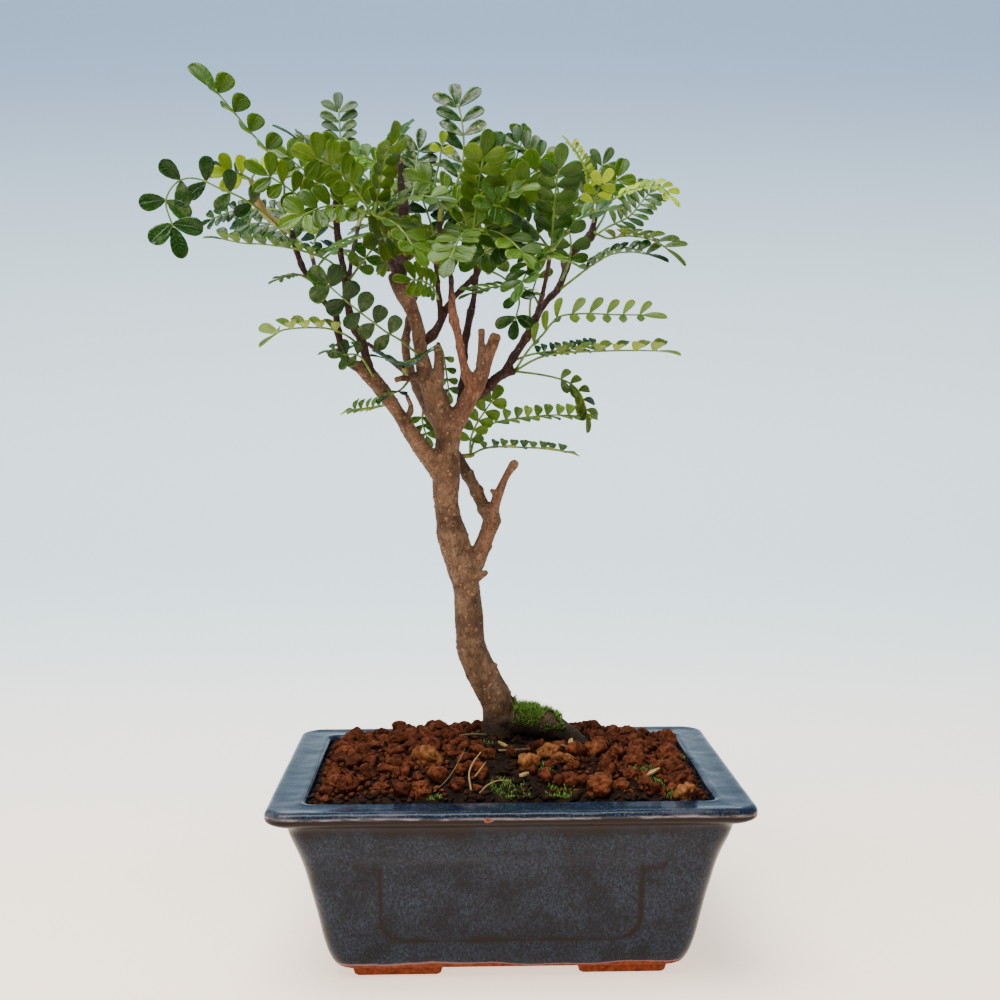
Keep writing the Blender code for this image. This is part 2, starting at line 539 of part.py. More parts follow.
SPRAYS = [
    spray("left_long", "outer_twig",
          frond([(-80, 265, -13), (-82.6, 274, -15), (-82.5, 283, -16), (-87.8, 294, -17),
                 (-94.8, 302, -18), (-101, 309.5, -19), (-107.3, 317, -20)], 5, 7.4, wide=0.92,
                turn=42, fold=45, first=0.38, spread=72, end=1.75, tone="light")),
    spray("left_hook", "outer_twig",
          frond([(-78.8, 261, -12.4), (-87, 269.5, -20), (-97, 277, -26), (-106, 281, -29),
                 (-114.5, 284.6, -31), (-121.5, 283.4, -33), (-126, 276.3, -34),
                 (-123.4, 266.5, -35)], 6, 10, wide=0.6, turn=0, fold=12, first=0.31, spread=66,
                end=1.15, grow=(0.74, 1.1), tone="dark")),
    spray("left_low", "inner_twig",
          frond([(-64, 267, -7), (-70, 269.6, -1), (-78, 272, 3), (-88, 273.4, 6), (-97, 273.2, 8),
                 (-103, 272.2, 9), (-109.5, 269.6, 10)], 3, 5.8, wide=0.5, turn=48, fold=10,
                tone="dark")),
    spray("left_thin", "inner_twig",
          frond([(-61, 250.5, -10), (-66, 254.5, -16), (-72, 257, -20), (-80, 259.2, -24),
                 (-90, 260.6, -27), (-98, 261, -29), (-105.5, 262.6, -30)], 3, 6.2, wide=0.6,
                turn=80, fold=38, first=0.3, tone="mid")),
    spray("left_shoot", "outer_twig",
          frond([(-94.6, 283.8, -14), (-98.5, 288, -16), (-103, 290.8, -18)], 2, 7.6, wide=0.6,
                turn=15, fold=15, first=0.42, end=1.0, tone="young"),
          frond([(-94.6, 283.8, -14), (-92.8, 287, -11), (-90.4, 289.5, -8)], 1, 6.2, wide=0.7,
                turn=25, fold=20, first=0.75, end=1.0, tone="young"),
          frond([(-94.3, 283.2, -14), (-99, 285.5, -7), (-105, 288.6, -1)], 2, 7.0, wide=0.36,
                turn=15, fold=5, twist=55, first=0.55, spread=52, tone="grey"),
          stem=[(-80, 265.6, -12.6, 1.2), (-85, 268.4, -11, 1.3), (-89.5, 271.8, -11.4, 1.3),
                (-92.2, 277, -12.6, 1.2), (-94.6, 284.2, -14, 1.0)]),
    spray("left_middle", "inner_twig",
          frond([(-64, 270, -9), (-70, 273, -14), (-76, 277.5, -18), (-82, 282, -21),
                 (-88.5, 286, -23)], 3, 8.4, wide=0.56, turn=20, fold=20, first=0.42, tone="light")),
    spray("left_upper", "inner_twig",
          frond([(-64, 276, -8), (-69, 282.5, -8), (-75, 288, -8), (-80.5, 292, -8)], 3, 8.2,
                wide=0.7, turn=10, fold=14, first=0.42, tone="light")),
    spray("left_fan", "inner_twig",
          frond([(-63.5, 277, -8), (-65.8, 287, -13), (-66.6, 296, -16)], 2, 8.4, wide=0.78,
                turn=0, fold=10, first=0.72, spread=68, end=1.1, tone="light")),
    spray("left_behind", "inner_twig",
          frond([(-63.2, 276, -7), (-61, 289, 8), (-61.3, 300, 15), (-61.8, 310, 19)], 3, 7.6,
                wide=0.52, turn=0, fold=12, first=0.62, spread=58, tone="grey")),
    spray("long_edge", "left_stem",
          frond([(-39, 269, -5), (-48, 277.5, -12), (-57, 284, -17), (-66, 290.5, -21),
                 (-77, 299, -25)], 3, 7.0, wide=0.5, turn=84, fold=22, first=0.28, end=1.5,
                tone="grey")),
    spray("left_inner", "left_stem",
          frond([(-39.2, 286, -5), (-47, 290, -7), (-54, 293, -8), (-60, 293.6, -9)], 3, 6.8,
                wide=0.62, turn=50, fold=18, first=0.36, tone="bright")),
    spray("left_bright", "left_stem",
          frond([(-38.6, 261, -5), (-46, 264.4, -13), (-53, 263.8, -19), (-60, 261, -24),
                 (-64.5, 258, -27)], 3, 6.6, wide=0.46, turn=85, fold=10, first=0.3, end=1.3,
                tone="bright")),
    spray("left_olive", "outer_twig",
          frond([(-72.5, 248, -12), (-77, 249.4, -16), (-81, 249, -19), (-84.8, 247.8, -21)], 3,
                4.2, wide=0.42, turn=85, fold=6, first=0.4, tone="olive")),
    spray("front_dark", "left_leader",
          frond([(-31.9, 220.5, -6), (-39.5, 225, -13), (-45, 228.2, -18), (-50, 232, -22),
                 (-56, 236.6, -26), (-61, 240.8, -29), (-66.8, 245.9, -32)], 5, 8.0, wide=0.8,
                turn=0, fold=10, first=0.34, spread=72, end=1.1, tone="dark")),
    spray("left_pale", "inner_twig",
          frond([(-54, 224, -10), (-60, 227, -16), (-66, 229.3, -20), (-74, 229.8, -24),
                 (-83, 229, -28), (-86.5, 227.2, -30)], 3, 7.2, wide=0.6, turn=82, fold=40,
                first=0.33, end=1.1, tone="pale")),
    spray("left_cluster", "left_limb",
          frond([(-51, 211.5, -9), (-55, 217.6, -15), (-61, 215.8, -19)], 2, 5.8, wide=0.62,
                turn=5, fold=8, first=0.62, tone="dark")),
    spray("spur_flat", "leader_spur",
          frond([(-38.4, 216.2, -11), (-42.5, 217.5, -16), (-46, 218.6, -20)], 2, 6.4, wide=0.42,
                turn=78, fold=8, first=0.36, tone="dark"),
          frond([(-38.3, 216.2, -11), (-34, 217.6, -15), (-30.4, 219.8, -18)], 2, 6.4, wide=0.42,
                turn=78, fold=8, first=0.36, tone="dark"),
          stem=[(-38, 211.2, -8, 0.8), (-38.3, 214, -10, 0.8), (-38.4, 216.6, -11, 0.8)]),
    spray("spur_low", "leader_spur",
          frond([(-37.6, 211, -8), (-39.6, 206.6, -11), (-43.6, 204.8, -14)], 1, 7.4, wide=0.4,
                turn=60, fold=5, first=0.62, end=1.25, tone="dark")),
    spray("low_behind", "left_limb",
          frond([(-43, 201, -6), (-47.5, 200.4, 6), (-53, 199.7, 14), (-58, 199.2, 20)], 3, 5.8,
                wide=0.6, turn=60, fold=25, first=0.36, tone="pale")),
    spray("far_left_small", "back_twig_low",
          frond([(-52, 223.5, 36), (-59, 222.6, 38), (-66, 221.4, 39)], 2, 5.2, wide=0.5, turn=70,
                fold=15, first=0.5, tone="grey")),
    spray("hanging_behind", "back_twig_gap",
          frond([(-25.5, 224, 32), (-23.6, 219, 35.5), (-22.4, 210, 37), (-21.5, 201.5, 38)], 3,
                4.8, wide=0.62, turn=20, fold=20, first=0.3, tone="grey")),
    spray("gap_leaves", "back_branch",
          frond([(-30, 199, 16.5), (-31.6, 194.5, 20), (-30, 189, 22)], 2, 5.2, wide=0.7,
                turn=0, fold=10, first=0.42, tone="mid")),
    spray("behind_right", "back_branch",
          frond([(-13, 182, 13.8), (-12, 188, 17), (-9, 192, 19), (-2, 194.8, 22), (8, 196.2, 26),
                 (18, 197, 30), (28.5, 196.6, 34)], 3, 7.2, wide=0.56, turn=74, fold=22,
                first=0.45, tone="pale"),
          frond([(-13, 182, 13.8), (-13.4, 188, 11), (-11, 194, 9.5), (-7.6, 199, 9.5),
                 (-5, 203, 9.5)], 2, 6.0, wide=0.72, turn=8, fold=10, first=0.42, tone="light"),
          frond([(-13, 182, 13.8), (-9, 184.2, 17), (-4, 185, 19.6), (4, 184.9, 23), (13, 184.4, 27),
                 (22, 183.2, 31)], 2, 6.8, wide=0.56, turn=76, fold=22, first=0.3, tone="pale"),
          stem=[(-18, 180.6, 11, 1.0), (-13.6, 181.8, 13.4, 1.0), (-12.4, 182.2, 14.2, 0.9)]),
    spray("right_arch", "right_knob",
          frond([(3.2, 213.4, 6.8), (9.5, 217.2, 1), (15, 219.3, -3), (22, 220.4, -7),
                 (32, 220.8, -11), (44, 221.2, -15), (57, 221.1, -19)], 3, 8.2, wide=0.56,
                turn=85, fold=34, first=0.36, tone="pale")),
    spray("right_fan", "right_knob",
          frond([(3, 213.6, 7), (7.4, 220, 5), (10.5, 223.8, 4), (14, 227.4, 3), (17.3, 231.5, 2),
                 (21, 234.2, 1), (30, 235, -1), (41, 234.6, -4), (52, 234.5, -7)], 4, 8.0,
                wide=0.46, turn=66, fold=24, first=0.2, spread=62, grow=(1.15, 0.82), tone="pale")),
    spray("right_curl", "right_knob",
          frond([(3.3, 213.2, 7), (10, 212.6, 9), (15, 211.8, 10), (20, 210.6, 11),
                 (24.5, 208.7, 12), (28, 205, 13), (29.8, 200.5, 14), (30.4, 197.8, 14)], 3, 7.4,
                wide=0.5, turn=52, fold=12, twist=20, first=0.5, tone="olive")),
    spray("right_small", "right_twig",
          frond([(3, 218.5, 7.5), (9, 219.6, 14), (16, 220.8, 18), (25, 221.8, 22),
                 (34, 222.8, 26)], 3, 5.6, wide=0.56, turn=55, fold=18, first=0.4, tone="dark")),
    spray("hanging_front", "dark_twig",
          frond([(-9.6, 252, 6), (-2, 249, -5), (3.5, 244, -10), (5, 239.5, -13),
                 (4.2, 235.5, -15), (3.6, 232.4, -16)], 2, 7.8, wide=0.58, turn=0, fold=12,
                first=0.7, spread=62, end=1.0, tone="dark")),
    spray("arched_light", "right_twig",
          frond([(13.5, 237, 8), (9.5, 242.6, -3), (3, 245, -8), (-5, 244.8, -12),
                 (-12.5, 242.8, -15)], 3, 6.2, wide=0.5, turn=85, fold=14, first=0.36,
                tone="light")),
    spray("right_front", "right_twig",
          frond([(21.4, 248, 8.8), (23.8, 255, 0), (24.2, 263, -5), (21.5, 269, -8),
                 (17, 273.5, -10)], 4, 8.0, wide=0.68, turn=0, fold=14, first=0.42, tone="mid")),
    spray("right_upright", "right_twig",
          frond([(9.6, 231, 9), (9.2, 240, 3), (12.2, 250.6, 0)], 1, 7.6, wide=0.5, turn=30,
                fold=14, first=0.9, spread=52, tone="olive")),
    spray("high_fan", "right_twig",
          frond([(32.4, 266, 7), (36.8, 271.5, 10), (39.6, 279.5, 12), (42, 286, 13)], 1, 8.8,
                wide=0.62, turn=0, fold=6, first=0.94, spread=66, end=0.95, tone="light")),
    spray("right_young", "right_twig",
          frond([(33.6, 272.3, 6.8), (40, 277.3, 1), (46, 280.3, -3), (53, 282.2, -7),
                 (58, 282, -9), (61.3, 279, -10)], 3, 5.6, wide=0.5, turn=72, fold=15, first=0.42,
                tone="young")),
    spray("right_behind", "right_twig",
          frond([(31.5, 263.5, 8), (38, 267, 17), (46, 271, 24), (50.5, 276, 29), (54, 280, 33)],
                3, 7.6, wide=0.48, turn=15, fold=12, first=0.52, tone="grey")),
    spray("right_long", "right_twig",
          frond([(32, 265, 7), (38.5, 262.9, -1), (44, 263.9, -6), (50, 263.6, -10),
                 (56, 262, -14), (60.5, 259.2, -17)], 4, 8.6, wide=0.46, turn=80, fold=28,
                first=0.44, end=1.3, tone="olive")),
    spray("right_lower", "right_twig",
          frond([(20, 245, 9), (27.5, 249.5, 2), (33, 253.5, -3), (40, 257.2, -8),
                 (48, 257.9, -12), (54, 256.9, -15)], 3, 7.2, wide=0.48, turn=84, fold=32,
                first=0.42, tone="dark")),
    spray("top_behind", "back_twig_right",
          frond([(17.1, 267, 35), (19.6, 278, 35), (17.5, 288, 36), (11, 293.6, 38),
                 (3, 298, 40)], 3, 8.4, wide=0.5, turn=48, fold=32, first=0.62, tone="grey"),
          frond([(17.1, 267, 35), (26, 276, 36), (32.5, 284, 36), (36.4, 290.5, 37)], 2, 7.6,
                wide=0.5, turn=0, fold=12, first=0.6, spread=58, tone="grey"),
          *rosette((17, 268.6, 36.6), (0, 0.7, 0.7), 28, "mid",
                   [(0.7, 0.35, 0.4), (-0.8, 0.5, 0.4)]),
          stem=[(17.6, 264, 32, 0.9), (17.2, 266.6, 34.5, 0.9), (17.0, 267.6, 35.6, 0.9),
                (17.0, 268.8, 36.8, 0.8)]),
    spray("right_bud", "right_twig",
          frond([(33.4, 271, 7), (31, 280, 9), (30.2, 287.5, 9), (27, 293.6, 9), (23.8, 298, 9)],
                3, 4.2, wide=0.36, turn=60, fold=30, first=0.52, tone="young")),
    spray("right_inner", "right_twig",
          frond([(33, 269.5, 6), (32.6, 275, -2), (34.6, 281, -6), (36.2, 283.4, -7)], 2, 5.8,
                wide=0.62, turn=5, fold=10, first=0.55, tone="young")),
    spray("main_top", "pink_twig",
          frond([(-24.5, 272.6, -9), (-20.8, 278, -9), (-18, 284, -7), (-16, 291, -5),
                 (-15.6, 298, -3), (-16.2, 305.5, -1), (-17.6, 312.2, 1)], 6, 10.4, wide=0.45,
                turn=0, fold=10, first=0.34, spread=56, end=0.95, tone="silver"),
          frond([(-24.3, 273, -9.4), (-26.4, 281, -12), (-24.6, 289, -13), (-23.6, 293.6, -13)],
                1, 4.8, wide=0.72, turn=0, fold=10, first=0.9, spread=72, tone="young"),
          stem=[(-24.6, 269.5, -9, 0.9), (-24.5, 272.2, -9.2, 0.9), (-24.2, 273.4, -9.4, 0.8)]),
    spray("top_left", "left_stem",
          frond([(-38, 275, -4), (-34, 281.5, 4), (-33.2, 290, 9), (-32.2, 296, 11)], 3, 8.4,
                wide=0.5, turn=0, fold=14, first=0.4, tone="silver")),
    spray("top_middle", "dark_twig",
          frond([(-6.8, 257.5, 7), (-7.6, 268, 10), (-6, 280, 12), (-4, 290.2, 13)], 2, 8.4,
                wide=0.76, turn=0, fold=10, first=0.78, tone="mid")),
    spray("top_bright", "dark_twig",
          frond([(-7.2, 257, 6), (-1, 268, 1), (3, 278, -3), (7.5, 285, -6), (12, 288.5, -8)], 4,
                8.0, wide=0.7, turn=0, fold=12, first=0.45, tone="bright")),
    spray("crown_front", "pink_twig",
          frond([(-24.4, 264, -8), (-15, 270.4, -17), (-7, 275, -21), (2, 280, -25),
                 (8, 283, -27)], 3, 8.0, wide=0.6, turn=10, fold=14, first=0.3, tone="light")),
    spray("crown_edge", "front_twig_mid",
          frond([(-12.6, 264, -27), (-7, 264.4, -29), (0, 262, -31), (7, 259.6, -33),
                 (14, 257.6, -34), (21, 255.4, -35)], 2, 6.6, wide=0.46, turn=82, fold=10,
                first=0.2, tone="bright"),
          frond([(-12.6, 264, -27), (-19.5, 263.6, -30), (-25, 261.4, -32), (-31, 260.6, -34)], 2,
                6.4, wide=0.46, turn=84, fold=8, first=0.3, tone="bright"),
          *rosette((-12, 265.8, -29.4), (0.2, 0.4, -0.8), 27, "light",
                   [(0.15, 1.0, -0.2), (-0.75, 0.75, -0.25), (0.75, 0.65, -0.3),
                    (-0.3, -0.4, -0.8), (0.75, -0.35, -0.6)]),
          stem=[(-14, 262, -24, 0.9), (-12.8, 263.8, -26.6, 0.9), (-12.4, 264.8, -28, 0.9),
                (-12, 265.8, -29.4, 0.8)]),
    spray("cross_leaves", "cross_spur",
          frond([(-25, 241, -0.5), (-27.4, 244.6, -9), (-31, 247, -14), (-35.4, 247.6, -17)], 2, 7.0,
                wide=0.5, turn=40, fold=12, first=0.6, tone="light")),
    spray("left_mixed", "inner_back",
          frond([(-58.6, 248, -5), (-54, 253.6, -10), (-50, 258.6, -13), (-46.4, 262.4, -15)], 3,
                6.6, wide=0.68, turn=5, fold=12, first=0.3, tone="mid")),
]

# Bunches of fronds inside and behind the crown, at the ends of the hidden twigs: the branch, the
# reach of the fronds, their tone and their headings as (x, rise, y)
BUNCHES = [
    ("bunch_front_left", "front_twig_left", 29, "light",
     [(-0.8, 0.75, -0.15), (0.25, 1.0, -0.3), (0.95, 0.3, -0.35), (-0.95, -0.05, -0.45),
      (0.55, -0.45, -0.7)]),
    ("bunch_front_right", "front_twig_right", 29, "mid",
     [(0.1, 1.0, -0.3), (-0.85, 0.6, -0.2), (0.8, 0.6, -0.35), (-0.9, -0.15, -0.4),
      (-0.4, -0.5, -0.75)]),
    ("bunch_back_left", "back_twig_left", 31, "mid",
     [(-0.8, 0.5, 0.4), (0.2, 0.8, 0.5), (0.9, 0.2, 0.3), (0.3, -0.3, 0.8)]),
    ("bunch_back_middle", "back_branch", 32, "dark",
     [(-0.4, 0.8, 0.5), (0.6, 0.6, 0.5), (-0.95, 0.1, 0.4), (0.9, -0.15, 0.5)]),
    ("bunch_back_right", "back_twig_mid", 30, "mid",
     [(0.2, 0.85, 0.3), (0.8, 0.15, 0.6), (-0.7, 0.7, 0.3), (-0.8, -0.1, 0.6)]),
    ("bunch_back_outer", "back_twig_outer", 29, "dark",
     [(-0.8, 0.3, 0.5), (0.3, 0.6, 0.8), (0.6, -0.1, 0.8)]),
    ("bunch_inner", "inner_back", 28, "light",
     [(-0.6, 0.9, 0.1), (0.8, 0.6, 0.2), (0.4, 0.05, 0.9), (0.85, -0.45, 0.2)]),
    ("bunch_low", "cross_spur", 25, "olive",
     [(-0.85, 0.1, -0.5), (0.85, -0.1, -0.5), (0.75, -0.15, 0.7), (-0.7, -0.2, 0.7)]),
]


def bunch_sprays():
    """The rule that turns each row of BUNCHES into a spray on the end of its twig."""
    made = []
    for name, branch, reach, tone, headings in BUNCHES:
        before, tip = (np.array(row[:3], float) for row in WOOD[branch][1][-2:])
        onward = unit(tip - before)
        fronds = rosette(tip + onward * 5.2, onward, reach, tone, headings)
        stem = [(*(tip + onward * step), 0.9) for step in (0, 2.2, 3.7, 5.6)]
        made.append(spray(name, branch, *fronds, stem=stem))
    return made


def leave_wood(branch, place, toward, width):
    """Where a stem or rib of the given width starts, just clear of the branch's bark."""
    stations = WOOD[branch][1]
    corners = np.array([seen(x, z, y) for x, z, y, _ in stations])
    share = np.linspace(0, len(stations) - 1, 8 * len(stations))
    order = range(len(stations))
    points = np.array([np.interp(share, order, corners[:, k]) for k in range(3)]).T
    radius = np.interp(share, order, [r for *_, r in stations])
    nearest = int(np.argmin(np.linalg.norm(points - place, axis=1)))
    centre = points[nearest]
    axis = unit(points[min(nearest + 1, len(points) - 1)] - points[max(nearest - 1, 0)])
    heading = unit(toward - centre)
    rise = float(np.dot(heading, axis))
    if nearest == len(points) - 1 and rise > 0.35:
        cap = radius[nearest] * 0.35
        tilt = math.sqrt(1 - min(1.0, rise * rise))
        return centre + heading * (cap + GAP + 0.05 + 0.6 * width * tilt) / rise
    outward = unit(heading - axis * rise)
    return centre + outward * (radius[nearest] + GAP + 0.1 + 0.5 * width)


def bent_path(path, bend):
    """The path with its tip moved by (depth, height) and the rest in proportion."""
    last = len(path) - 1
    return [seen(x, z + bend[1] * (i / last) ** 1.3, y + bend[0] * (i / last) ** 1.3)
            for i, (x, z, y) in enumerate(path)]


def rib_frames(line, turn):
    """Heading, side and upper direction of the rib at each point of its line."""
    chord = unit(line[-1] - line[0])
    to_eye = unit(EYE - line[len(line) // 2])
    facing = unit(to_eye - chord * np.dot(to_eye, chord))
    across = np.cross(chord, facing)
    upright = abs(chord[2]) > 0.9
    if (across[0] if upright else across[2]) < 0:
        across = -across
    angle = math.radians(turn)
    up = facing * math.cos(angle) + across * math.sin(angle)
    headings, sides, ups = [], [], []
    for i in range(len(line)):
        ahead = unit(line[min(i + 1, len(line) - 1)] - line[max(i - 1, 0)])
        up = unit(up - ahead * np.dot(up, ahead))
        headings.append(ahead)
        ups.append(up)
        sides.append(np.cross(up, ahead))
    return np.array(headings), np.array(sides), np.array(ups)


def leaflet(points, faces, foot_a, foot_b, along, length, width, twist, full):
    """Add one leaflet that stands on the edge from foot_a to foot_b of the rib."""
    base = (points[foot_a] + points[foot_b]) / 2
    step = points[foot_b] - points[foot_a]
    across = unit(step - along * np.dot(step, along))
    upper = np.cross(across, along)
    angle = math.radians(twist)
    wing = across * math.cos(angle) + upper * math.sin(angle)
    if full:
        shape = ((0.52, 0.47), (0.9, 0.3), (0.9, -0.3), (0.52, -0.47))
    else:
        shape = ((0.62, 0.5), (1.0, 0.0), (0.62, -0.5))
    start = len(points)
    for u, v in shape:
        points.append(base + along * length * u + wing * width * v - upper * length * 0.12 * u * u)
    ring = [foot_a, foot_b, *range(start, start + len(shape))]
    if full:
        a, b, c, d, e, f = ring
        faces += [(a, b, c), (a, c, f), (f, c, d), (f, d, e)]
    else:
        a, b, c, d, e = ring
        faces += [(a, b, c), (a, c, e), (e, c, d)]


def frond_surface(leaf, path):
    """Middle surface of a frond: its rib and all leaflets, cut to the rib, in one outline."""
    line = smooth(path)
    run = lengths(line)
    headings, sides, ups = rib_frames(line, leaf["turn"])
    total = run[-1]
    last = total - NODE_LENGTH / 2 - 0.8
    start = min(leaf["first"] * total, last - 0.1)
    nodes = np.linspace(start, last, leaf["pairs"]) if leaf["pairs"] > 1 else [start]
    cuts = [0.0]
    for node in nodes:
        cuts += [node - NODE_LENGTH / 2, node + NODE_LENGTH / 2]
    cuts.append(total)
    points, faces = [], []
    for s in cuts:
        centre, side = at(line, run, s), unit(at(sides, run, s))
        points += [centre - side * RIB_HALF, centre + side * RIB_HALF]
    for k in range(len(cuts) - 1):
        left, right = 2 * k, 2 * k + 1
        faces += [(left, right + 2, right), (left, left + 2, right + 2)]
    full = leaf["leaf"] >= 8.6
    spread, fold = math.radians(leaf["spread"]), math.radians(leaf["fold"])
    for i, node in enumerate(nodes):
        share = i / max(1, leaf["pairs"] - 1)
        length = leaf["leaf"] * (leaf["grow"][0] + (leaf["grow"][1] - leaf["grow"][0]) * share)
        ahead, side, up = (unit(at(row, run, node)) for row in (headings, sides, ups))
        for sign in (1, -1):
            out = side * sign * math.cos(fold) + up * math.sin(fold)
            along = ahead * math.cos(spread) + out * math.sin(spread)
            near = 2 * (1 + 2 * i) + (1 if sign > 0 else 0)
            feet = (near, near + 2) if sign > 0 else (near + 2, near)
            leaflet(points, faces, *feet, along, length, length * leaf["wide"],
                    leaf["twist"] * sign, full)
    end = 2 * (len(cuts) - 1)
    leaflet(points, faces, end + 1, end, headings[-1], leaf["leaf"] * leaf["end"],
            leaf["leaf"] * leaf["wide"], 0, full)
    return points, faces


def thicken(points, faces, thickness):
    """Closed blade: the surface moved up and down by half its thickness, and its edge walled."""
    points = np.array(points)
    normals = [unit(np.cross(points[b] - points[a], points[c] - points[a])) for a, b, c in faces]
    around = [[] for _ in points]
    for face, normal in zip(faces, normals):
        for corner in face:
            around[corner].append(normal)
    lift = []
    for normals_here in around:
        mean = unit(sum(normals_here))
        lean = min(float(np.dot(mean, n)) for n in normals_here)
        lift.append(mean / max(lean, 0.72) * thickness / 2)
    lift = np.array(lift)
    count = len(points)
    verts = list(points + lift) + list(points - lift)
    solid = list(faces) + [(c + count, b + count, a + count) for a, b, c in faces]
    edges = {(f[i], f[(i + 1) % 3]) for f in faces for i in range(3)}
    for a, b in sorted(edges):
        if (b, a) not in edges:
            solid += [(b, a, a + count), (b, a + count, b + count)]
    return verts, solid


def tree_of(verts, faces):
    return BVHTree.FromPolygons([Vector(v) for v in verts], faces, all_triangles=False)


def object_tree(body):
    verts = [np.array(v.co) / MM + MIDDLE for v in body.data.vertices]
    return tree_of(verts, [tuple(p.vertices) for p in body.data.polygons])


def place_frond(leaf, start, obstacles):
    """The first bend of the frond that touches nothing, or None."""
    for bend in BENDS:
        path = bent_path(leaf["path"], bend)
        path[0] = start
        surface = frond_surface(leaf, path)
        probe = tree_of(*thicken(*surface, BLADE + 0.4))
        if not any(probe.overlap(other) for other in obstacles):
            return surface
    return None


def build_sprays(finishes, wood):
    """Every spray in one solid: its stem and fronds, each bent clear of the wood and the others."""
    obstacles = [object_tree(wood)]
    for group in SPRAYS + bunch_sprays():
        pieces = []
        if group["stem"]:
            rows = group["stem"]
            places = [seen(x, z, y) for x, z, y, _ in rows]
            places[0] = leave_wood(group["branch"], places[0], places[1], rows[0][3])
            pieces.append(tube(places, [r for *_, r in rows], 5))
        for leaf in group["fronds"]:
            path = bent_path(leaf["path"], (0, 0))
            if group["stem"]:
                start = min(places[1:], key=lambda p: np.linalg.norm(p - path[0]))
            else:
                start = leave_wood(group["branch"], path[0], path[1], RIB_HALF)
            surface = place_frond(leaf, start, obstacles)
            if surface:
                pieces.append(thicken(*surface, BLADE))
        tone = group["fronds"][0]["tone"]
        bodies = [make_object(group["name"], *piece) for piece in pieces]
        bodies[0].data.materials.append(finishes[tone])
        if len(bodies) > 1:
            boolean(bodies[0], bodies[1:], "UNION")
        obstacles.append(object_tree(bodies[0]))


def main():
    clear_scene()
    glaze = material("blue_glaze", (0.07, 0.10, 0.15), 0.3)
    earth = material("dark_soil", (0.05, 0.03, 0.02), 0.95)
    bark = material("bark", (0.22, 0.14, 0.09), 0.8)
    plastic = material("screen_plastic", (0.02, 0.02, 0.02), 0.6)
    tones = {"dark": (0.03, 0.10, 0.01), "mid": (0.07, 0.20, 0.02), "light": (0.16, 0.30, 0.02),
             "bright": (0.14, 0.36, 0.04), "pale": (0.30, 0.42, 0.14), "young": (0.42, 0.48, 0.03),
             "olive": (0.18, 0.22, 0.03), "grey": (0.14, 0.24, 0.12), "silver": (0.16, 0.26, 0.12)}
    leaves = {tone: material(f"leaf_{tone}", colour, 0.45) for tone, colour in tones.items()}
    build_pot(glaze)
    build_screens(plastic)
    build_soil(earth, wood_rows(("trunk", "root")))
    wood = build_wood(bark)
    build_sprays(leaves, wood)


main()
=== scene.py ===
import math
import random

import bmesh
import bpy
import numpy as np
from mathutils import Matrix, Quaternion, Vector, noise
from mathutils.bvhtree import BVHTree
from mathutils.kdtree import KDTree


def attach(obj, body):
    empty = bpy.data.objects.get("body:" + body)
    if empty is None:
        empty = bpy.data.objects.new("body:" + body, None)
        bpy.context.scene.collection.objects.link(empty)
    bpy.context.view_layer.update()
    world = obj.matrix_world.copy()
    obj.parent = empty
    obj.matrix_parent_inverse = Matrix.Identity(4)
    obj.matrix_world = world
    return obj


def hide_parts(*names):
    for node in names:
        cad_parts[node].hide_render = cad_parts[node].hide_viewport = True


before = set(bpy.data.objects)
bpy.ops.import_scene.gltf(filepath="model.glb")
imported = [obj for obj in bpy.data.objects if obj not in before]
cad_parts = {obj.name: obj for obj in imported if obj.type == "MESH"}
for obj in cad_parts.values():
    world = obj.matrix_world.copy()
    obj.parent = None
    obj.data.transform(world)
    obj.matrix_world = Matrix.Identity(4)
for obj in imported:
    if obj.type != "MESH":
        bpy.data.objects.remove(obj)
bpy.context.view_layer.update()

# Lengths are in millimetres from the middle of the pot's foot, X along the pot, Z up, the front
# towards -Y. Places of wood and leaves are (x, z, y): where the eye in front of the tree sees
# them on the plane y = 0, and their depth. Meshes are shifted by MIDDLE and scaled to metres.
MM = 0.001
MIDDLE = np.array([-21.1, 4.8, -4.2])
EYE = np.array([-16.2, -491.2, 199.0])
# Bottom of the hole in the soil, where the wood's foot stands
HOLE_BOTTOM = 47.0


# Vectors and curves

def unit(v):
    return v / max(np.linalg.norm(v), 1e-9)


def seen(x, z, y):
    """World point at depth y that the eye sees at (x, z) on the plane y = 0."""
    on_plane = np.array([x, 0.0, z])
    return EYE + (on_plane - EYE) * (y - EYE[1]) / (0.0 - EYE[1])


def smooth(points, steps=8):
    """Catmull-Rom curve through the points."""
    p = [2 * points[0] - points[1], *points, 2 * points[-1] - points[-2]]
    line = []
    for k in range(1, len(p) - 2):
        for i in range(steps):
            t = i / steps
            line.append(0.5 * (2 * p[k] + (p[k + 1] - p[k - 1]) * t
                               + (2 * p[k - 1] - 5 * p[k] + 4 * p[k + 1] - p[k + 2]) * t ** 2
                               + (3 * p[k] - p[k - 1] - 3 * p[k + 1] + p[k + 2]) * t ** 3))
    line.append(p[-2])
    return np.array(line)


def lengths(line):
    return np.concatenate([[0.0], np.cumsum(np.linalg.norm(np.diff(line, axis=0), axis=1))])


def at(line, run, s):
    """Point of the line at the distance s along it."""
    return np.array([np.interp(s, run, line[:, k]) for k in range(3)])


def ease(low, high, value):
    """0 up to low, 1 from high on, and smooth between them."""
    t = np.clip((value - low) / (high - low), 0.0, 1.0)
    return t * t * (3 - 2 * t)


def near(value, middle, reach):
    """1 at the middle, fading to 0 past the reach."""
    return np.exp(-((value - middle) / reach) ** 2)


# Plant

# Half the thickness of a frond's rib, and the length of rib that one pair of leaflets takes
RIB_HALF = 0.5
NODE_LENGTH = 1.3

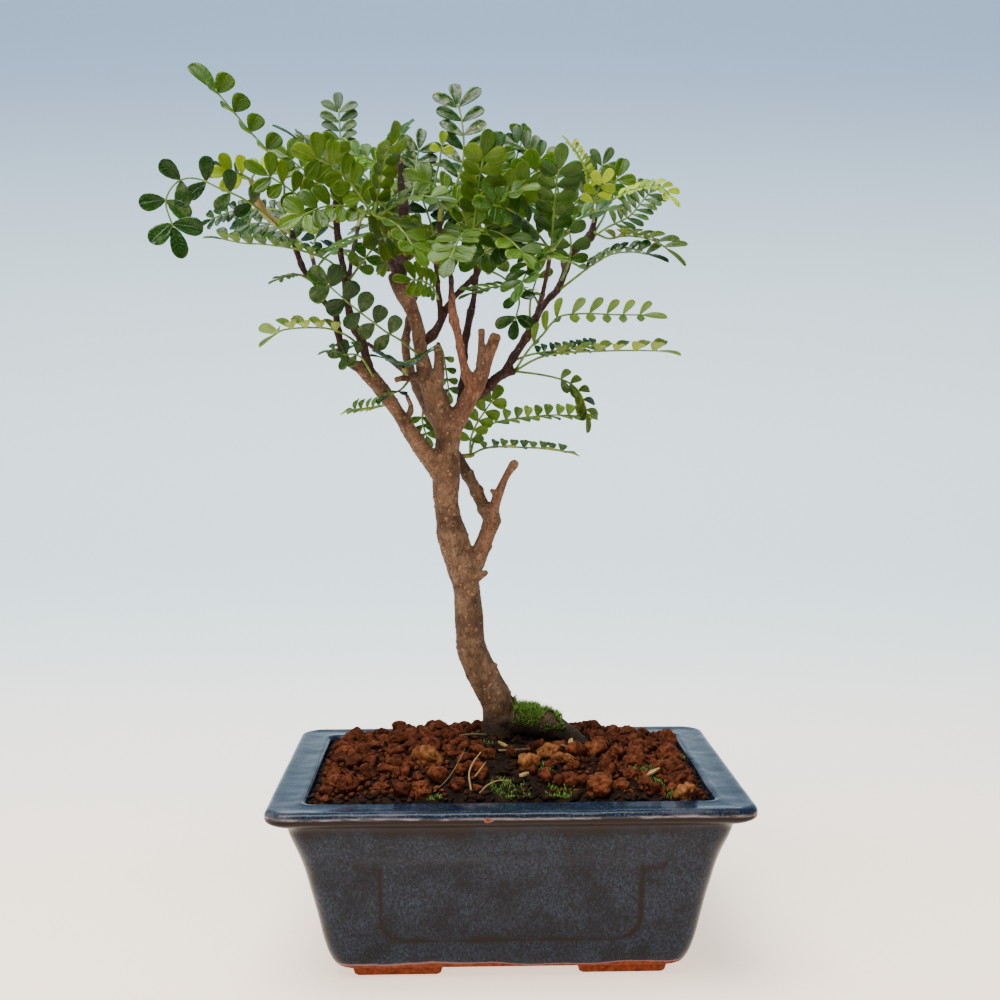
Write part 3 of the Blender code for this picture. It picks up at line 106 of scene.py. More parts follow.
# How far a frond's tip may be bent clear of its neighbours: depth, to the back or the front, and
# height, in the order in which they are tried
BENDS = [(way * depth, rise) for depth, rise in
         ((0, 0), (4, 0), (8, 0), (12, 0), (17, 0), (22, 0), (0, 4), (6, 4), (0, -4), (6, -4), (12, 5),
          (12, -5), (28, 0), (20, 6), (34, 0), (0, 9), (10, 9), (20, -8), (40, 0), (28, 10))
         for way in (1, -1)]

# Wood: the rows of (x, z, y, radius) of each branch
WOOD = {
    "trunk": [(-2.5, HOLE_BOTTOM + 0.6, 4, 4.6), (-2.5, 66, 4, 6.6), (-3, 78, 4, 6.4),
        (-3.6, 87, 3.5, 6.6), (-7.2, 94.5, 3, 5.9), (-10.2, 100.5, 2.4, 6.1), (-13.2, 108, 1.8, 6.3),
        (-13.9, 114, 1.4, 5.5), (-14.4, 122, 1, 5.2), (-15.2, 131, 0.6, 5.3), (-16.4, 138, 0.3, 6.1),
        (-18.6, 145, 0, 5.6), (-20.6, 152, -0.4, 5.8), (-22.2, 160, -0.8, 5.0), (-22.9, 168, -1, 4.9),
        (-22.6, 178, -1.2, 5.0), (-22, 188, -1.2, 5.0), (-22.2, 194, -1.2, 5.0)],
    "root": [(-2, 79.5, 4, 5.2), (6, 80.6, 3, 6.0), (13, 79, 2, 5.6), (20, 76, 1, 4.6),
        (27, 72, 0, 3.4), (33, 67, -1, 2.4)],
    "left_leader": [(-22.5, 190, -1.2, 4.2), (-24.8, 198, -1.6, 4.5), (-27.6, 206, -2.2, 4.4),
        (-30.2, 212, -2.6, 3.6), (-31.8, 220, -3, 2.6), (-33.3, 230, -3.2, 2.5),
        (-35.6, 237, -3.4, 2.8), (-39.2, 245, -3.6, 3.9), (-41.3, 249.5, -3.8, 3.2)],
    "left_stem": [(-40, 247, -3.8, 2.8), (-38.5, 255, -4, 2.0), (-38.7, 265, -4.2, 1.6),
        (-38, 275, -4.4, 1.8), (-39, 282, -4.6, 1.2), (-39.3, 292, -5, 1.1)],
    "left_limb": [(-23, 172, -1.5, 4.2), (-28.5, 180, -3, 3.6), (-34, 187.5, -4.5, 3.0),
        (-39.8, 196.5, -6, 2.7), (-45.5, 205, -7.5, 2.8), (-50.5, 211, -8.5, 2.9), (-55, 215, -9, 2.4),
        (-57.8, 216, -9.3, 1.8)],
    "outer_twig": [(-56.5, 215, -9, 1.6), (-60.5, 218.5, -9.4, 1.7), (-62.3, 225, -9.8, 1.4),
        (-63.3, 231, -10, 1.3), (-64, 235.5, -10.2, 1.4), (-68.5, 240, -10.8, 1.1),
        (-71, 246, -11.2, 1.1), (-75, 250.5, -11.6, 1.2), (-77.3, 256, -12, 1.1),
        (-79, 262, -12.4, 1.3), (-79.8, 265.5, -12.6, 1.2)],
    "inner_twig": [(-51.2, 212, -8.5, 2.0), (-52.8, 220, -9, 1.7), (-54.5, 226, -9.4, 1.9),
        (-57.5, 231.5, -9.6, 1.7), (-59.5, 240, -9.4, 1.3), (-60.5, 250, -9, 1.2),
        (-62, 259, -8.6, 1.3), (-63, 268, -8.2, 1.3), (-63.3, 276.5, -8, 1.3)],
    "inner_back": [(-59.2, 238, -9.4, 0.9), (-58.6, 248, -5, 0.9), (-57, 258, 3, 0.9),
        (-55, 267, 12, 0.9)],
    "right_leader": [(-21, 191, -1, 4.2), (-16.4, 199, -0.6, 3.8), (-13.2, 205, -0.3, 3.4),
        (-10.4, 210, 0, 3.1), (-8.4, 215, 0.2, 2.7), (-6.3, 220, 0.4, 2.3), (-4.6, 224.5, 0.5, 2.4),
        (-3.8, 227, 0.6, 2.2)],
    "right_stub": [(-9.8, 210, 0.5, 1.7), (-9.6, 218, 0.8, 1.4), (-9.3, 226, 1, 1.3),
        (-9.2, 229, 1, 1.4)],
    "left_stub": [(-27.5, 206, -3.5, 2.2), (-25.3, 212, -5, 2.0), (-25.2, 218, -5.5, 1.8),
        (-26, 223, -6, 1.4)],
    "pink_twig": [(-12.6, 206, -1.5, 2.4), (-15, 212.5, -2.2, 2.0), (-16.6, 219, -3, 1.5),
        (-18, 227, -3.6, 1.6), (-19.8, 234, -4, 1.8), (-20.4, 242, -4.2, 1.2), (-20.8, 250, -4.6, 1.0),
        (-23, 258, -6, 1.0), (-24.6, 265, -8, 1.0), (-24.6, 269.5, -9, 1.1)],
    "dark_twig": [(-17.5, 200, 2.4, 1.7), (-16.6, 208, 5, 1.5), (-15.6, 217, 6, 1.1),
        (-15.2, 225, 6.4, 1.4), (-13.8, 233, 6.6, 1.5), (-12, 241, 6.8, 1.1), (-11, 249, 7, 1.1),
        (-9.8, 254.5, 7, 2.0), (-6.8, 257.5, 7, 1.3)],
    "cross_twig": [(-31.8, 223.5, -2.5, 1.7), (-28, 226.5, -0.5, 1.9), (-24.5, 232, 1, 1.5),
        (-20.8, 239.5, 3, 1.1), (-15.5, 245, 5, 1.2), (-11, 249.5, 6.8, 1.3)],
    "cross_spur": [(-24.6, 231.5, 1, 1.2), (-24.8, 239, 0, 1.1), (-25.7, 246, -1, 1.0),
        (-26.1, 253.5, -2, 1.1)],
    "right_knob": [(-12.2, 203.5, 2.0, 2.0), (-7.8, 206.4, 4.2, 2.0), (-4, 210.5, 5.5, 2.0),
        (-0.5, 212.8, 6.2, 1.9), (3.2, 213.4, 6.8, 1.5)],
    "right_twig": [(-1.8, 211.3, 6, 1.8), (2, 217.5, 7, 1.6), (5.3, 222.5, 8, 1.6),
        (8.7, 228, 8.5, 1.7), (11.5, 234, 8.8, 1.4), (16, 240.5, 9, 1.2), (19.5, 244, 9, 1.5),
        (22, 250, 8.6, 1.3), (24.5, 256.5, 8, 1.3), (27.5, 260.5, 7.6, 1.8), (31.5, 263.5, 7.2, 1.7),
        (32.8, 268, 7, 1.2), (33.6, 272.3, 6.8, 1.3)],
    "side_branch": [(-14.5, 134, 1, 3.6), (-11.6, 141, 1.2, 3.4), (-9.3, 147, 1.6, 3.2),
        (-7.2, 152.5, 2, 3.3), (-5.4, 157.5, 2.2, 3.8), (-4.8, 161, 2.4, 2.3), (-3.4, 166, 2.4, 1.9),
        (-1.4, 171, 2.4, 1.6), (0.9, 175.5, 2.4, 1.6), (2.8, 178.2, 2.4, 2.1), (3.7, 179.4, 2.4, 1.5)],
    "side_spur": [(-3.6, 166.5, 2.4, 1.2), (-5.8, 168.8, 1.8, 0.9)],
    "side_bud": [(-11.5, 135.6, -1.5, 2.2), (-8.6, 136.9, -3, 1.4), (-7.4, 137.4, -3.6, 1.0)],
    "back_branch": [(-6.2, 157, 2.5, 2.6), (-9.5, 164.5, 4.5, 2.5), (-13.5, 172.5, 7.5, 2.3),
        (-18, 180.5, 11, 2.2), (-24, 190, 14, 2.1), (-30, 200, 16.5, 2.0), (-35, 211, 18, 1.8),
        (-37.8, 222, 19, 1.7), (-36.4, 232, 20, 1.5), (-34, 242, 24, 1.2), (-30.5, 252, 32, 1.0),
        (-28, 261, 40, 0.9)],
    "limb_spur": [(-38.4, 194.5, -6.5, 1.5), (-35.8, 199.5, -9.5, 1.0), (-37.4, 204.5, -10.5, 0.9)],
    "leader_spur": [(-31, 212.5, -4, 1.6), (-37.8, 211.2, -8, 1.1), (-41.5, 210.3, -10, 1.2)],
    "front_twig_left": [(-41, 249, -5, 1.6), (-43.5, 255, -13, 1.1), (-46.5, 262, -23, 0.9),
        (-48.5, 268, -31, 0.9)],
    "front_twig_mid": [(-20.8, 250, -4.6, 0.9), (-18, 256, -14, 0.9), (-14, 262, -24, 0.9)],
    "front_twig_right": [(11.5, 234, 8.4, 1.2), (13.4, 241, -2, 1.0), (15.2, 249, -12, 0.9),
        (16.4, 256, -20, 0.9)],
    "back_twig_left": [(-40.4, 248.5, -2.5, 1.6), (-42, 257, 8, 1.0), (-43.4, 266, 20, 0.9),
        (-44.5, 274, 30, 0.9)],
    "back_twig_mid": [(-9, 255.5, 7, 1.3), (-5.4, 262, 18, 1.0), (-1.6, 268, 30, 0.9)],
    "back_twig_right": [(22, 250, 8.6, 1.0), (20.5, 257, 20, 0.9), (17.6, 264, 32, 0.9)],
    "back_twig_outer": [(-68.3, 240, -10.6, 1.0), (-70, 247, 2, 0.9), (-72, 255, 14, 0.9)],
    "back_twig_gap": [(-30, 200, 16.5, 1.4), (-27, 212, 26, 1.0), (-25.5, 224, 32, 0.9)],
    "back_twig_low": [(-35, 211, 18, 1.4), (-44, 218, 28, 1.0), (-52, 224, 36, 0.9)],
}


def frond(path, pairs, leaf, wide=0.6, turn=0, fold=12, twist=0, first=0.35, spread=65, end=1.15,
          grow=(0.9, 1.05), tone="mid"):
    """One compound leaf.

    path starts at the wood; pairs of leaflets, leaf long and leaf * wide across, stand from the
    share first of the rib to its end, which one more leaflet closes. turn tells where the upper
    face looks: 0 to the eye, 90 up. fold lifts both rows of leaflets from the flat, twist turns
    each one about its own length, spread is its angle to the rib, and grow is the size of the
    first and last pair. tone names the colour of the leaf.
    """
    return dict(path=path, pairs=pairs, leaf=leaf, wide=wide, turn=turn, fold=fold, twist=twist,
                first=first, spread=spread, end=end, grow=grow, tone=tone)


def spray(name, branch, *fronds, stem=None):
    """Fronds on one twig; stem is (x, z, y, radius) rows of the green shoot that they share."""
    return dict(name=name, branch=branch, fronds=fronds, stem=stem)


def rosette(hub, onward, reach, tone, headings):
    """Fronds that spread from the end of one shoot; headings are (x, rise, y)."""
    hub, onward = np.array(hub, float), unit(np.array(onward, float))
    fronds = []
    for i, heading in enumerate(headings):
        foot = hub - onward * 1.5 * (i % 3)
        span = unit(np.array(heading, float)) * reach * (1 - 0.07 * (i % 3))
        arch = np.array([0, 0.16 * reach, 0])
        path = [tuple(foot)] + [tuple(foot + span * t + arch * math.sin(math.pi * t * 0.9))
                                for t in (0.34, 0.68, 1.0)]
        fronds.append(frond(path, 2, 8.5 - 0.3 * (i % 3), wide=0.68, turn=(25, 55, 78, 40, 66)[i % 5],
                            fold=14, first=0.42, tone=tone))
    return fronds


SPRAYS = [
    spray("left_long", "outer_twig",
          frond([(-80, 265, -13), (-82.6, 274, -15), (-82.5, 283, -16), (-87.8, 294, -17),
                 (-94.8, 302, -18), (-101, 309.5, -19), (-107.3, 317, -20)], 5, 7.4, wide=0.92, turn=42,
                 fold=45, first=0.38, spread=72, end=1.75, tone="light")),
    spray("left_hook", "outer_twig",
          frond([(-78.8, 261, -12.4), (-87, 269.5, -20), (-97, 277, -26), (-106, 281, -29),
                 (-114.5, 284.6, -31), (-121.5, 283.4, -33), (-126, 276.3, -34), (-123.4, 266.5, -35)],
                 6, 10, first=0.31, spread=66, grow=(0.74, 1.1), tone="dark")),
    spray("left_low", "inner_twig",
          frond([(-64, 267, -7), (-70, 269.6, -1), (-78, 272, 3), (-88, 273.4, 6), (-97, 273.2, 8),
                 (-103, 272.2, 9), (-109.5, 269.6, 10)], 3, 5.8, wide=0.5, turn=48, fold=10,
                 tone="dark")),
    spray("left_thin", "inner_twig",
          frond([(-61, 250.5, -10), (-66, 254.5, -16), (-72, 257, -20), (-80, 259.2, -24),
                 (-90, 260.6, -27), (-98, 261, -29), (-105.5, 262.6, -30)], 3, 6.2, turn=80, fold=38,
                 first=0.3)),
    spray("left_shoot", "outer_twig",
          frond([(-94.6, 283.8, -14), (-98.5, 288, -16), (-103, 290.8, -18)], 2, 7.6, turn=15, fold=15,
                 first=0.42, end=1.0, tone="young"),
          frond([(-94.6, 283.8, -14), (-92.8, 287, -11), (-90.4, 289.5, -8)], 1, 6.2, wide=0.7, turn=25,
                 fold=20, first=0.75, end=1.0, tone="young"),
          frond([(-94.3, 283.2, -14), (-99, 285.5, -7), (-105, 288.6, -1)], 2, 7.0, wide=0.36, turn=15,
                 fold=5, twist=55, first=0.55, spread=52, tone="grey"),
          stem=[(-80, 265.6, -12.6, 1.2), (-85, 268.4, -11, 1.3), (-89.5, 271.8, -11.4, 1.3),
                (-92.2, 277, -12.6, 1.2), (-94.6, 284.2, -14, 1.0)]),
    spray("left_middle", "inner_twig",
          frond([(-64, 270, -9), (-70, 273, -14), (-76, 277.5, -18), (-82, 282, -21),
                 (-88.5, 286, -23)], 3, 8.4, wide=0.56, turn=20, fold=20, first=0.42, tone="light")),
    spray("left_upper", "inner_twig",
          frond([(-64, 276, -8), (-69, 282.5, -8), (-75, 288, -8), (-80.5, 292, -8)], 3, 8.2, wide=0.7,
                 turn=10, fold=14, first=0.42, tone="light")),
    spray("left_fan", "inner_twig",
          frond([(-63.5, 277, -8), (-65.8, 287, -13), (-66.6, 296, -16)], 2, 8.4, wide=0.78, fold=10,
                 first=0.72, spread=68, end=1.1, tone="light")),
    spray("left_behind", "inner_twig",
          frond([(-63.2, 276, -7), (-61, 289, 8), (-61.3, 300, 15), (-61.8, 310, 19)], 3, 7.6,
                 wide=0.52, first=0.62, spread=58, tone="grey")),
    spray("long_edge", "left_stem",
          frond([(-39, 269, -5), (-48, 277.5, -12), (-57, 284, -17), (-66, 290.5, -21),
                 (-77, 299, -25)], 3, 7.0, wide=0.5, turn=84, fold=22, first=0.28, end=1.5,
                 tone="grey")),
    spray("left_inner", "left_stem",
          frond([(-39.2, 286, -5), (-47, 290, -7), (-54, 293, -8), (-60, 293.6, -9)], 3, 6.8, wide=0.62,
                 turn=50, fold=18, first=0.36, tone="bright")),
    spray("left_bright", "left_stem",
          frond([(-38.6, 261, -5), (-46, 264.4, -13), (-53, 263.8, -19), (-60, 261, -24),
                 (-64.5, 258, -27)], 3, 6.6, wide=0.46, turn=85, fold=10, first=0.3, end=1.3,
                 tone="bright")),
    spray("left_olive", "outer_twig",
          frond([(-72.5, 248, -12), (-77, 249.4, -16), (-81, 249, -19), (-84.8, 247.8, -21)], 3, 4.2,
                 wide=0.42, turn=85, fold=6, first=0.4, tone="olive")),
    spray("front_dark", "left_leader",
          frond([(-31.9, 220.5, -6), (-39.5, 225, -13), (-45, 228.2, -18), (-50, 232, -22),
                 (-56, 236.6, -26), (-61, 240.8, -29), (-66.8, 245.9, -32)], 5, 8.0, wide=0.8, fold=10,
                 first=0.34, spread=72, end=1.1, tone="dark")),
    spray("left_pale", "inner_twig",
          frond([(-54, 224, -10), (-60, 227, -16), (-66, 229.3, -20), (-74, 229.8, -24),
                 (-83, 229, -28), (-86.5, 227.2, -30)], 3, 7.2, turn=82, fold=40, first=0.33, end=1.1,
                 tone="pale")),
    spray("left_cluster", "left_limb",
          frond([(-51, 211.5, -9), (-55, 217.6, -15), (-61, 215.8, -19)], 2, 5.8, wide=0.62, turn=5,
                 fold=8, first=0.62, tone="dark")),
    spray("spur_flat", "leader_spur",
          frond([(-38.4, 216.2, -11), (-42.5, 217.5, -16), (-46, 218.6, -20)], 2, 6.4, wide=0.42,
                 turn=78, fold=8, first=0.36, tone="dark"),
          frond([(-38.3, 216.2, -11), (-34, 217.6, -15), (-30.4, 219.8, -18)], 2, 6.4, wide=0.42,
                 turn=78, fold=8, first=0.36, tone="dark"),
          stem=[(-38, 211.2, -8, 0.8), (-38.3, 214, -10, 0.8), (-38.4, 216.6, -11, 0.8)]),
    spray("spur_low", "leader_spur",
          frond([(-37.6, 211, -8), (-39.6, 206.6, -11), (-43.6, 204.8, -14)], 1, 7.4, wide=0.4, turn=60,
                 fold=5, first=0.62, end=1.25, tone="dark")),
    # Its pale tone is in part painted light shining through leaflets seen from below
    spray("low_behind", "left_limb",
          frond([(-43, 201, -6), (-47.5, 200.4, 6), (-53, 199.7, 14), (-58, 199.2, 20)], 3, 5.8,
                 turn=60, fold=25, first=0.36, tone="pale")),
    spray("far_left_small", "back_twig_low",
          frond([(-52, 223.5, 36), (-59, 222.6, 38), (-66, 221.4, 39)], 2, 5.2, wide=0.5, turn=70,
                 fold=15, first=0.5, tone="grey")),
    spray("hanging_behind", "back_twig_gap",
          frond([(-25.5, 224, 32), (-23.6, 219, 35.5), (-22.4, 210, 37), (-21.5, 201.5, 38)], 3, 4.8,
                 wide=0.62, turn=20, fold=20, first=0.3, tone="grey")),
    spray("gap_leaves", "back_branch",
          frond([(-30, 199, 16.5), (-31.6, 194.5, 20), (-30, 189, 22)], 2, 5.2, wide=0.7, fold=10,
                 first=0.42)),
    # The pale and light tones of these fronds are in part painted light shining through leaflets seen from
    # below
    spray("behind_right", "back_branch",
          frond([(-13, 182, 13.8), (-12, 188, 17), (-9, 192, 19), (-2, 194.8, 22), (8, 196.2, 26),
                 (18, 197, 30), (28.5, 196.6, 34)], 3, 7.2, wide=0.56, turn=74, fold=22, first=0.45,
                 tone="pale"),
          frond([(-13, 182, 13.8), (-13.4, 188, 11), (-11, 194, 9.5), (-7.6, 199, 9.5), (-5, 203, 9.5)],
                 2, 6.0, wide=0.72, turn=8, fold=10, first=0.42, tone="light"),
          frond([(-13, 182, 13.8), (-9, 184.2, 17), (-4, 185, 19.6), (4, 184.9, 23), (13, 184.4, 27),
                 (22, 183.2, 31)], 2, 6.8, wide=0.56, turn=76, fold=22, first=0.3, tone="pale"),
          stem=[(-18, 180.6, 11, 1.0), (-13.6, 181.8, 13.4, 1.0), (-12.4, 182.2, 14.2, 0.9)]),
    spray("right_arch", "right_knob",
          frond([(3.2, 213.4, 6.8), (9.5, 217.2, 1), (15, 219.3, -3), (22, 220.4, -7), (32, 220.8, -11),
                 (44, 221.2, -15), (57, 221.1, -19)], 3, 8.2, wide=0.56, turn=85, fold=34, first=0.36,
                 tone="pale")),
    spray("right_fan", "right_knob",
          frond([(3, 213.6, 7), (7.4, 220, 5), (10.5, 223.8, 4), (14, 227.4, 3), (17.3, 231.5, 2),
                 (21, 234.2, 1), (30, 235, -1), (41, 234.6, -4), (52, 234.5, -7)], 4, 8.0, wide=0.46,
                 turn=66, fold=24, first=0.2, spread=62, grow=(1.15, 0.82), tone="pale")),
    spray("right_curl", "right_knob",
          frond([(3.3, 213.2, 7), (10, 212.6, 9), (15, 211.8, 10), (20, 210.6, 11), (24.5, 208.7, 12),
                 (28, 205, 13), (29.8, 200.5, 14), (30.4, 197.8, 14)], 3, 7.4, wide=0.5, turn=52,
                 twist=20, first=0.5, tone="olive")),
    spray("right_small", "right_twig",
          frond([(3, 218.5, 7.5), (9, 219.6, 14), (16, 220.8, 18), (25, 221.8, 22), (34, 222.8, 26)], 3,
                 5.6, wide=0.56, turn=55, fold=18, first=0.4, tone="dark")),
    spray("hanging_front", "dark_twig",
          frond([(-9.6, 252, 6), (-2, 249, -5), (3.5, 244, -10), (5, 239.5, -13), (4.2, 235.5, -15),
                 (3.6, 232.4, -16)], 2, 7.8, wide=0.58, first=0.7, spread=62, end=1.0, tone="dark")),
    spray("arched_light", "right_twig",
          frond([(13.5, 237, 8), (9.5, 242.6, -3), (3, 245, -8), (-5, 244.8, -12), (-12.5, 242.8, -15)],
                 3, 6.2, wide=0.5, turn=85, fold=14, first=0.36, tone="light")),
    spray("right_front", "right_twig",
          frond([(21.4, 248, 8.8), (23.8, 255, 0), (24.2, 263, -5), (21.5, 269, -8), (17, 273.5, -10)],
                 4, 8.0, wide=0.68, fold=14, first=0.42)),
    spray("right_upright", "right_twig",
          frond([(9.6, 231, 9), (9.2, 240, 3), (12.2, 250.6, 0)], 1, 7.6, wide=0.5, turn=30, fold=14,
                 first=0.9, spread=52, tone="olive")),
    spray("high_fan", "right_twig",
          frond([(32.4, 266, 7), (36.8, 271.5, 10), (39.6, 279.5, 12), (42, 286, 13)], 1, 8.8,
                 wide=0.62, fold=6, first=0.94, spread=66, end=0.95, tone="light")),
    spray("right_young", "right_twig",
          frond([(33.6, 272.3, 6.8), (40, 277.3, 1), (46, 280.3, -3), (53, 282.2, -7), (58, 282, -9),
                 (61.3, 279, -10)], 3, 5.6, wide=0.5, turn=72, fold=15, first=0.42, tone="young")),
    spray("right_behind", "right_twig",
          frond([(31.5, 263.5, 8), (38, 267, 17), (46, 271, 24), (50.5, 276, 29), (54, 280, 33)], 3,
                 7.6, wide=0.48, turn=15, first=0.52, tone="grey")),
    spray("right_long", "right_twig",
          frond([(32, 265, 7), (38.5, 262.9, -1), (44, 263.9, -6), (50, 263.6, -10), (56, 262, -14),
                 (60.5, 259.2, -17)], 4, 8.6, wide=0.46, turn=80, fold=28, first=0.44, end=1.3,
                 tone="olive")),
    spray("right_lower", "right_twig",
          frond([(20, 245, 9), (27.5, 249.5, 2), (33, 253.5, -3), (40, 257.2, -8), (48, 257.9, -12),
                 (54, 256.9, -15)], 3, 7.2, wide=0.48, turn=84, fold=32, first=0.42, tone="dark")),
    spray("top_behind", "back_twig_right",
          frond([(17.1, 267, 35), (19.6, 278, 35), (17.5, 288, 36), (11, 293.6, 38), (3, 298, 40)], 3,
                 8.4, wide=0.5, turn=48, fold=32, first=0.62, tone="grey"),
          frond([(17.1, 267, 35), (26, 276, 36), (32.5, 284, 36), (36.4, 290.5, 37)], 2, 7.6, wide=0.5,
                 first=0.6, spread=58, tone="grey"),
          *rosette((17, 268.6, 36.6), (0, 0.7, 0.7), 28, "mid",
                   [(0.7, 0.35, 0.4), (-0.8, 0.5, 0.4)]),
          stem=[(17.6, 264, 32, 0.9), (17.2, 266.6, 34.5, 0.9), (17.0, 267.6, 35.6, 0.9),
                (17.0, 268.8, 36.8, 0.8)]),
    spray("right_bud", "right_twig",
          frond([(33.4, 271, 7), (31, 280, 9), (30.2, 287.5, 9), (27, 293.6, 9), (23.8, 298, 9)], 3,
                 4.2, wide=0.36, turn=60, fold=30, first=0.52, tone="young")),
    spray("right_inner", "right_twig",
          frond([(33, 269.5, 6), (32.6, 275, -2), (34.6, 281, -6), (36.2, 283.4, -7)], 2, 5.8,
                 wide=0.62, turn=5, fold=10, first=0.55, tone="young")),
    spray("main_top", "pink_twig",
          frond([(-24.5, 272.6, -9), (-20.8, 278, -9), (-18, 284, -7), (-16, 291, -5), (-15.6, 298, -3),
                 (-16.2, 305.5, -1), (-17.6, 312.2, 1)], 6, 10.4, wide=0.45, fold=10, first=0.34,
                 spread=56, end=0.95, tone="silver"),
          frond([(-24.3, 273, -9.4), (-26.4, 281, -12), (-24.6, 289, -13), (-23.6, 293.6, -13)], 1, 4.8,
                 wide=0.72, fold=10, first=0.9, spread=72, tone="young"),
          stem=[(-24.6, 269.5, -9, 0.9), (-24.5, 272.2, -9.2, 0.9), (-24.2, 273.4, -9.4, 0.8)]),
    spray("top_left", "left_stem",
          frond([(-38, 275, -4), (-34, 281.5, 4), (-33.2, 290, 9), (-32.2, 296, 11)], 3, 8.4, wide=0.5,
                 fold=14, first=0.4, tone="silver")),
    spray("top_middle", "dark_twig",
          frond([(-6.8, 257.5, 7), (-7.6, 268, 10), (-6, 280, 12), (-4, 290.2, 13)], 2, 8.4, wide=0.76,
                 fold=10, first=0.78)),
    spray("top_bright", "dark_twig",
          frond([(-7.2, 257, 6), (-1, 268, 1), (3, 278, -3), (7.5, 285, -6), (12, 288.5, -8)], 4, 8.0,
                 wide=0.7, first=0.45, tone="bright")),
    spray("crown_front", "pink_twig",
          frond([(-24.4, 264, -8), (-15, 270.4, -17), (-7, 275, -21), (2, 280, -25), (8, 283, -27)], 3,
                 8.0, turn=10, fold=14, first=0.3, tone="light")),
    spray("crown_edge", "front_twig_mid",
          frond([(-12.6, 264, -27), (-7, 264.4, -29), (0, 262, -31), (7, 259.6, -33), (14, 257.6, -34),
                 (21, 255.4, -35)], 2, 6.6, wide=0.46, turn=82, fold=10, first=0.2, tone="bright"),
          frond([(-12.6, 264, -27), (-19.5, 263.6, -30), (-25, 261.4, -32), (-31, 260.6, -34)], 2, 6.4,
                 wide=0.46, turn=84, fold=8, first=0.3, tone="bright"),
          *rosette((-12, 265.8, -29.4), (0.2, 0.4, -0.8), 27, "light",
                   [(0.15, 1.0, -0.2), (-0.75, 0.75, -0.25), (0.75, 0.65, -0.3), (-0.3, -0.4, -0.8),
                    (0.75, -0.35, -0.6)]),
          stem=[(-14, 262, -24, 0.9), (-12.8, 263.8, -26.6, 0.9), (-12.4, 264.8, -28, 0.9),
                (-12, 265.8, -29.4, 0.8)]),
    spray("cross_leaves", "cross_spur",
          frond([(-25, 241, -0.5), (-27.4, 244.6, -9), (-31, 247, -14), (-35.4, 247.6, -17)], 2, 7.0,
                 wide=0.5, turn=40, first=0.6, tone="light")),
    spray("left_mixed", "inner_back",
          frond([(-58.6, 248, -5), (-54, 253.6, -10), (-50, 258.6, -13), (-46.4, 262.4, -15)], 3, 6.6,
                 wide=0.68, turn=5, first=0.3)),
]


# Bunches of fronds inside and behind the crown, at the ends of the hidden twigs: the branch, the
# reach of the fronds, their tone and their headings as (x, rise, y)
BUNCHES = [
    ("bunch_front_left", "front_twig_left", 29, "light",
     [(-0.8, 0.75, -0.15), (0.25, 1.0, -0.3), (0.95, 0.3, -0.35), (-0.95, -0.05, -0.45),
      (0.55, -0.45, -0.7)]),
    ("bunch_front_right", "front_twig_right", 29, "mid",
     [(0.1, 1.0, -0.3), (-0.85, 0.6, -0.2), (0.8, 0.6, -0.35), (-0.9, -0.15, -0.4),
      (-0.4, -0.5, -0.75)]),
    ("bunch_back_left", "back_twig_left", 31, "mid",
     [(-0.8, 0.5, 0.4), (0.2, 0.8, 0.5), (0.9, 0.2, 0.3), (0.3, -0.3, 0.8)]),
    ("bunch_back_middle", "back_branch", 32, "dark",
     [(-0.4, 0.8, 0.5), (0.6, 0.6, 0.5), (-0.95, 0.1, 0.4), (0.9, -0.15, 0.5)]),
    ("bunch_back_right", "back_twig_mid", 30, "mid",
     [(0.2, 0.85, 0.3), (0.8, 0.15, 0.6), (-0.7, 0.7, 0.3), (-0.8, -0.1, 0.6)]),
    ("bunch_back_outer", "back_twig_outer", 29, "dark",
     [(-0.8, 0.3, 0.5), (0.3, 0.6, 0.8), (0.6, -0.1, 0.8)]),
    ("bunch_inner", "inner_back", 28, "light",
     [(-0.6, 0.9, 0.1), (0.8, 0.6, 0.2), (0.4, 0.05, 0.9), (0.85, -0.45, 0.2)]),
    ("bunch_low", "cross_spur", 25, "olive",
     [(-0.85, 0.1, -0.5), (0.85, -0.1, -0.5), (0.75, -0.15, 0.7), (-0.7, -0.2, 0.7)]),
]


# Meshes

class Shape:
    """Points, faces, finishes and painted values of one piece while it is built."""

    def __init__(self):
        self.verts, self.faces, self.finish, self.paint = [], [], [], {}
        self.count = 0

    def add(self, verts, faces, finish=0, **paint):
        verts = np.asarray(verts, float)
        for name, value in paint.items():
            values = np.broadcast_to(value, (len(verts),)).astype(float)
            self.paint.setdefault(name, []).append((self.count, values))
        self.faces.extend([tuple(i + self.count for i in face) for face in faces])
        self.finish.extend([finish] * len(faces))
        self.verts.append(verts)
        self.count += len(verts)

    def piece(self, name, slot, finishes, nodes=(), flat=False):
        """The built piece, which rides with the plant and stands for the named solids."""
        mesh = bpy.data.meshes.new(name)
        mesh.from_pydata(((np.concatenate(self.verts) - MIDDLE) * MM).tolist(), [], self.faces)
        for finish_used in finishes:
            mesh.materials.append(finish_used)
        mesh.polygons.foreach_set("material_index", self.finish)
        for key, columns in self.paint.items():
            values = np.zeros(self.count)
            for start, column in columns:
                values[start:start + len(column)] = column
            paint_points(mesh, key, values)
        mesh.polygons.foreach_set("use_smooth", [not flat] * len(mesh.polygons))
        mesh.update()
        piece = bpy.data.objects.new(name, mesh)
        bpy.context.scene.collection.objects.link(piece)
        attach(piece, "root")
        if nodes:
            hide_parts(*nodes)
        return piece


def paint_points(mesh, name, values):
    mesh.attributes.new(name, "FLOAT", "POINT").data.foreach_set("value", values)


def apply_modifiers(piece):
    """Replaces the piece's mesh by what its modifiers make of it."""
    shown = piece.evaluated_get(bpy.context.evaluated_depsgraph_get())
    mesh = bpy.data.meshes.new_from_object(shown)
    piece.modifiers.clear()
    piece.data = mesh


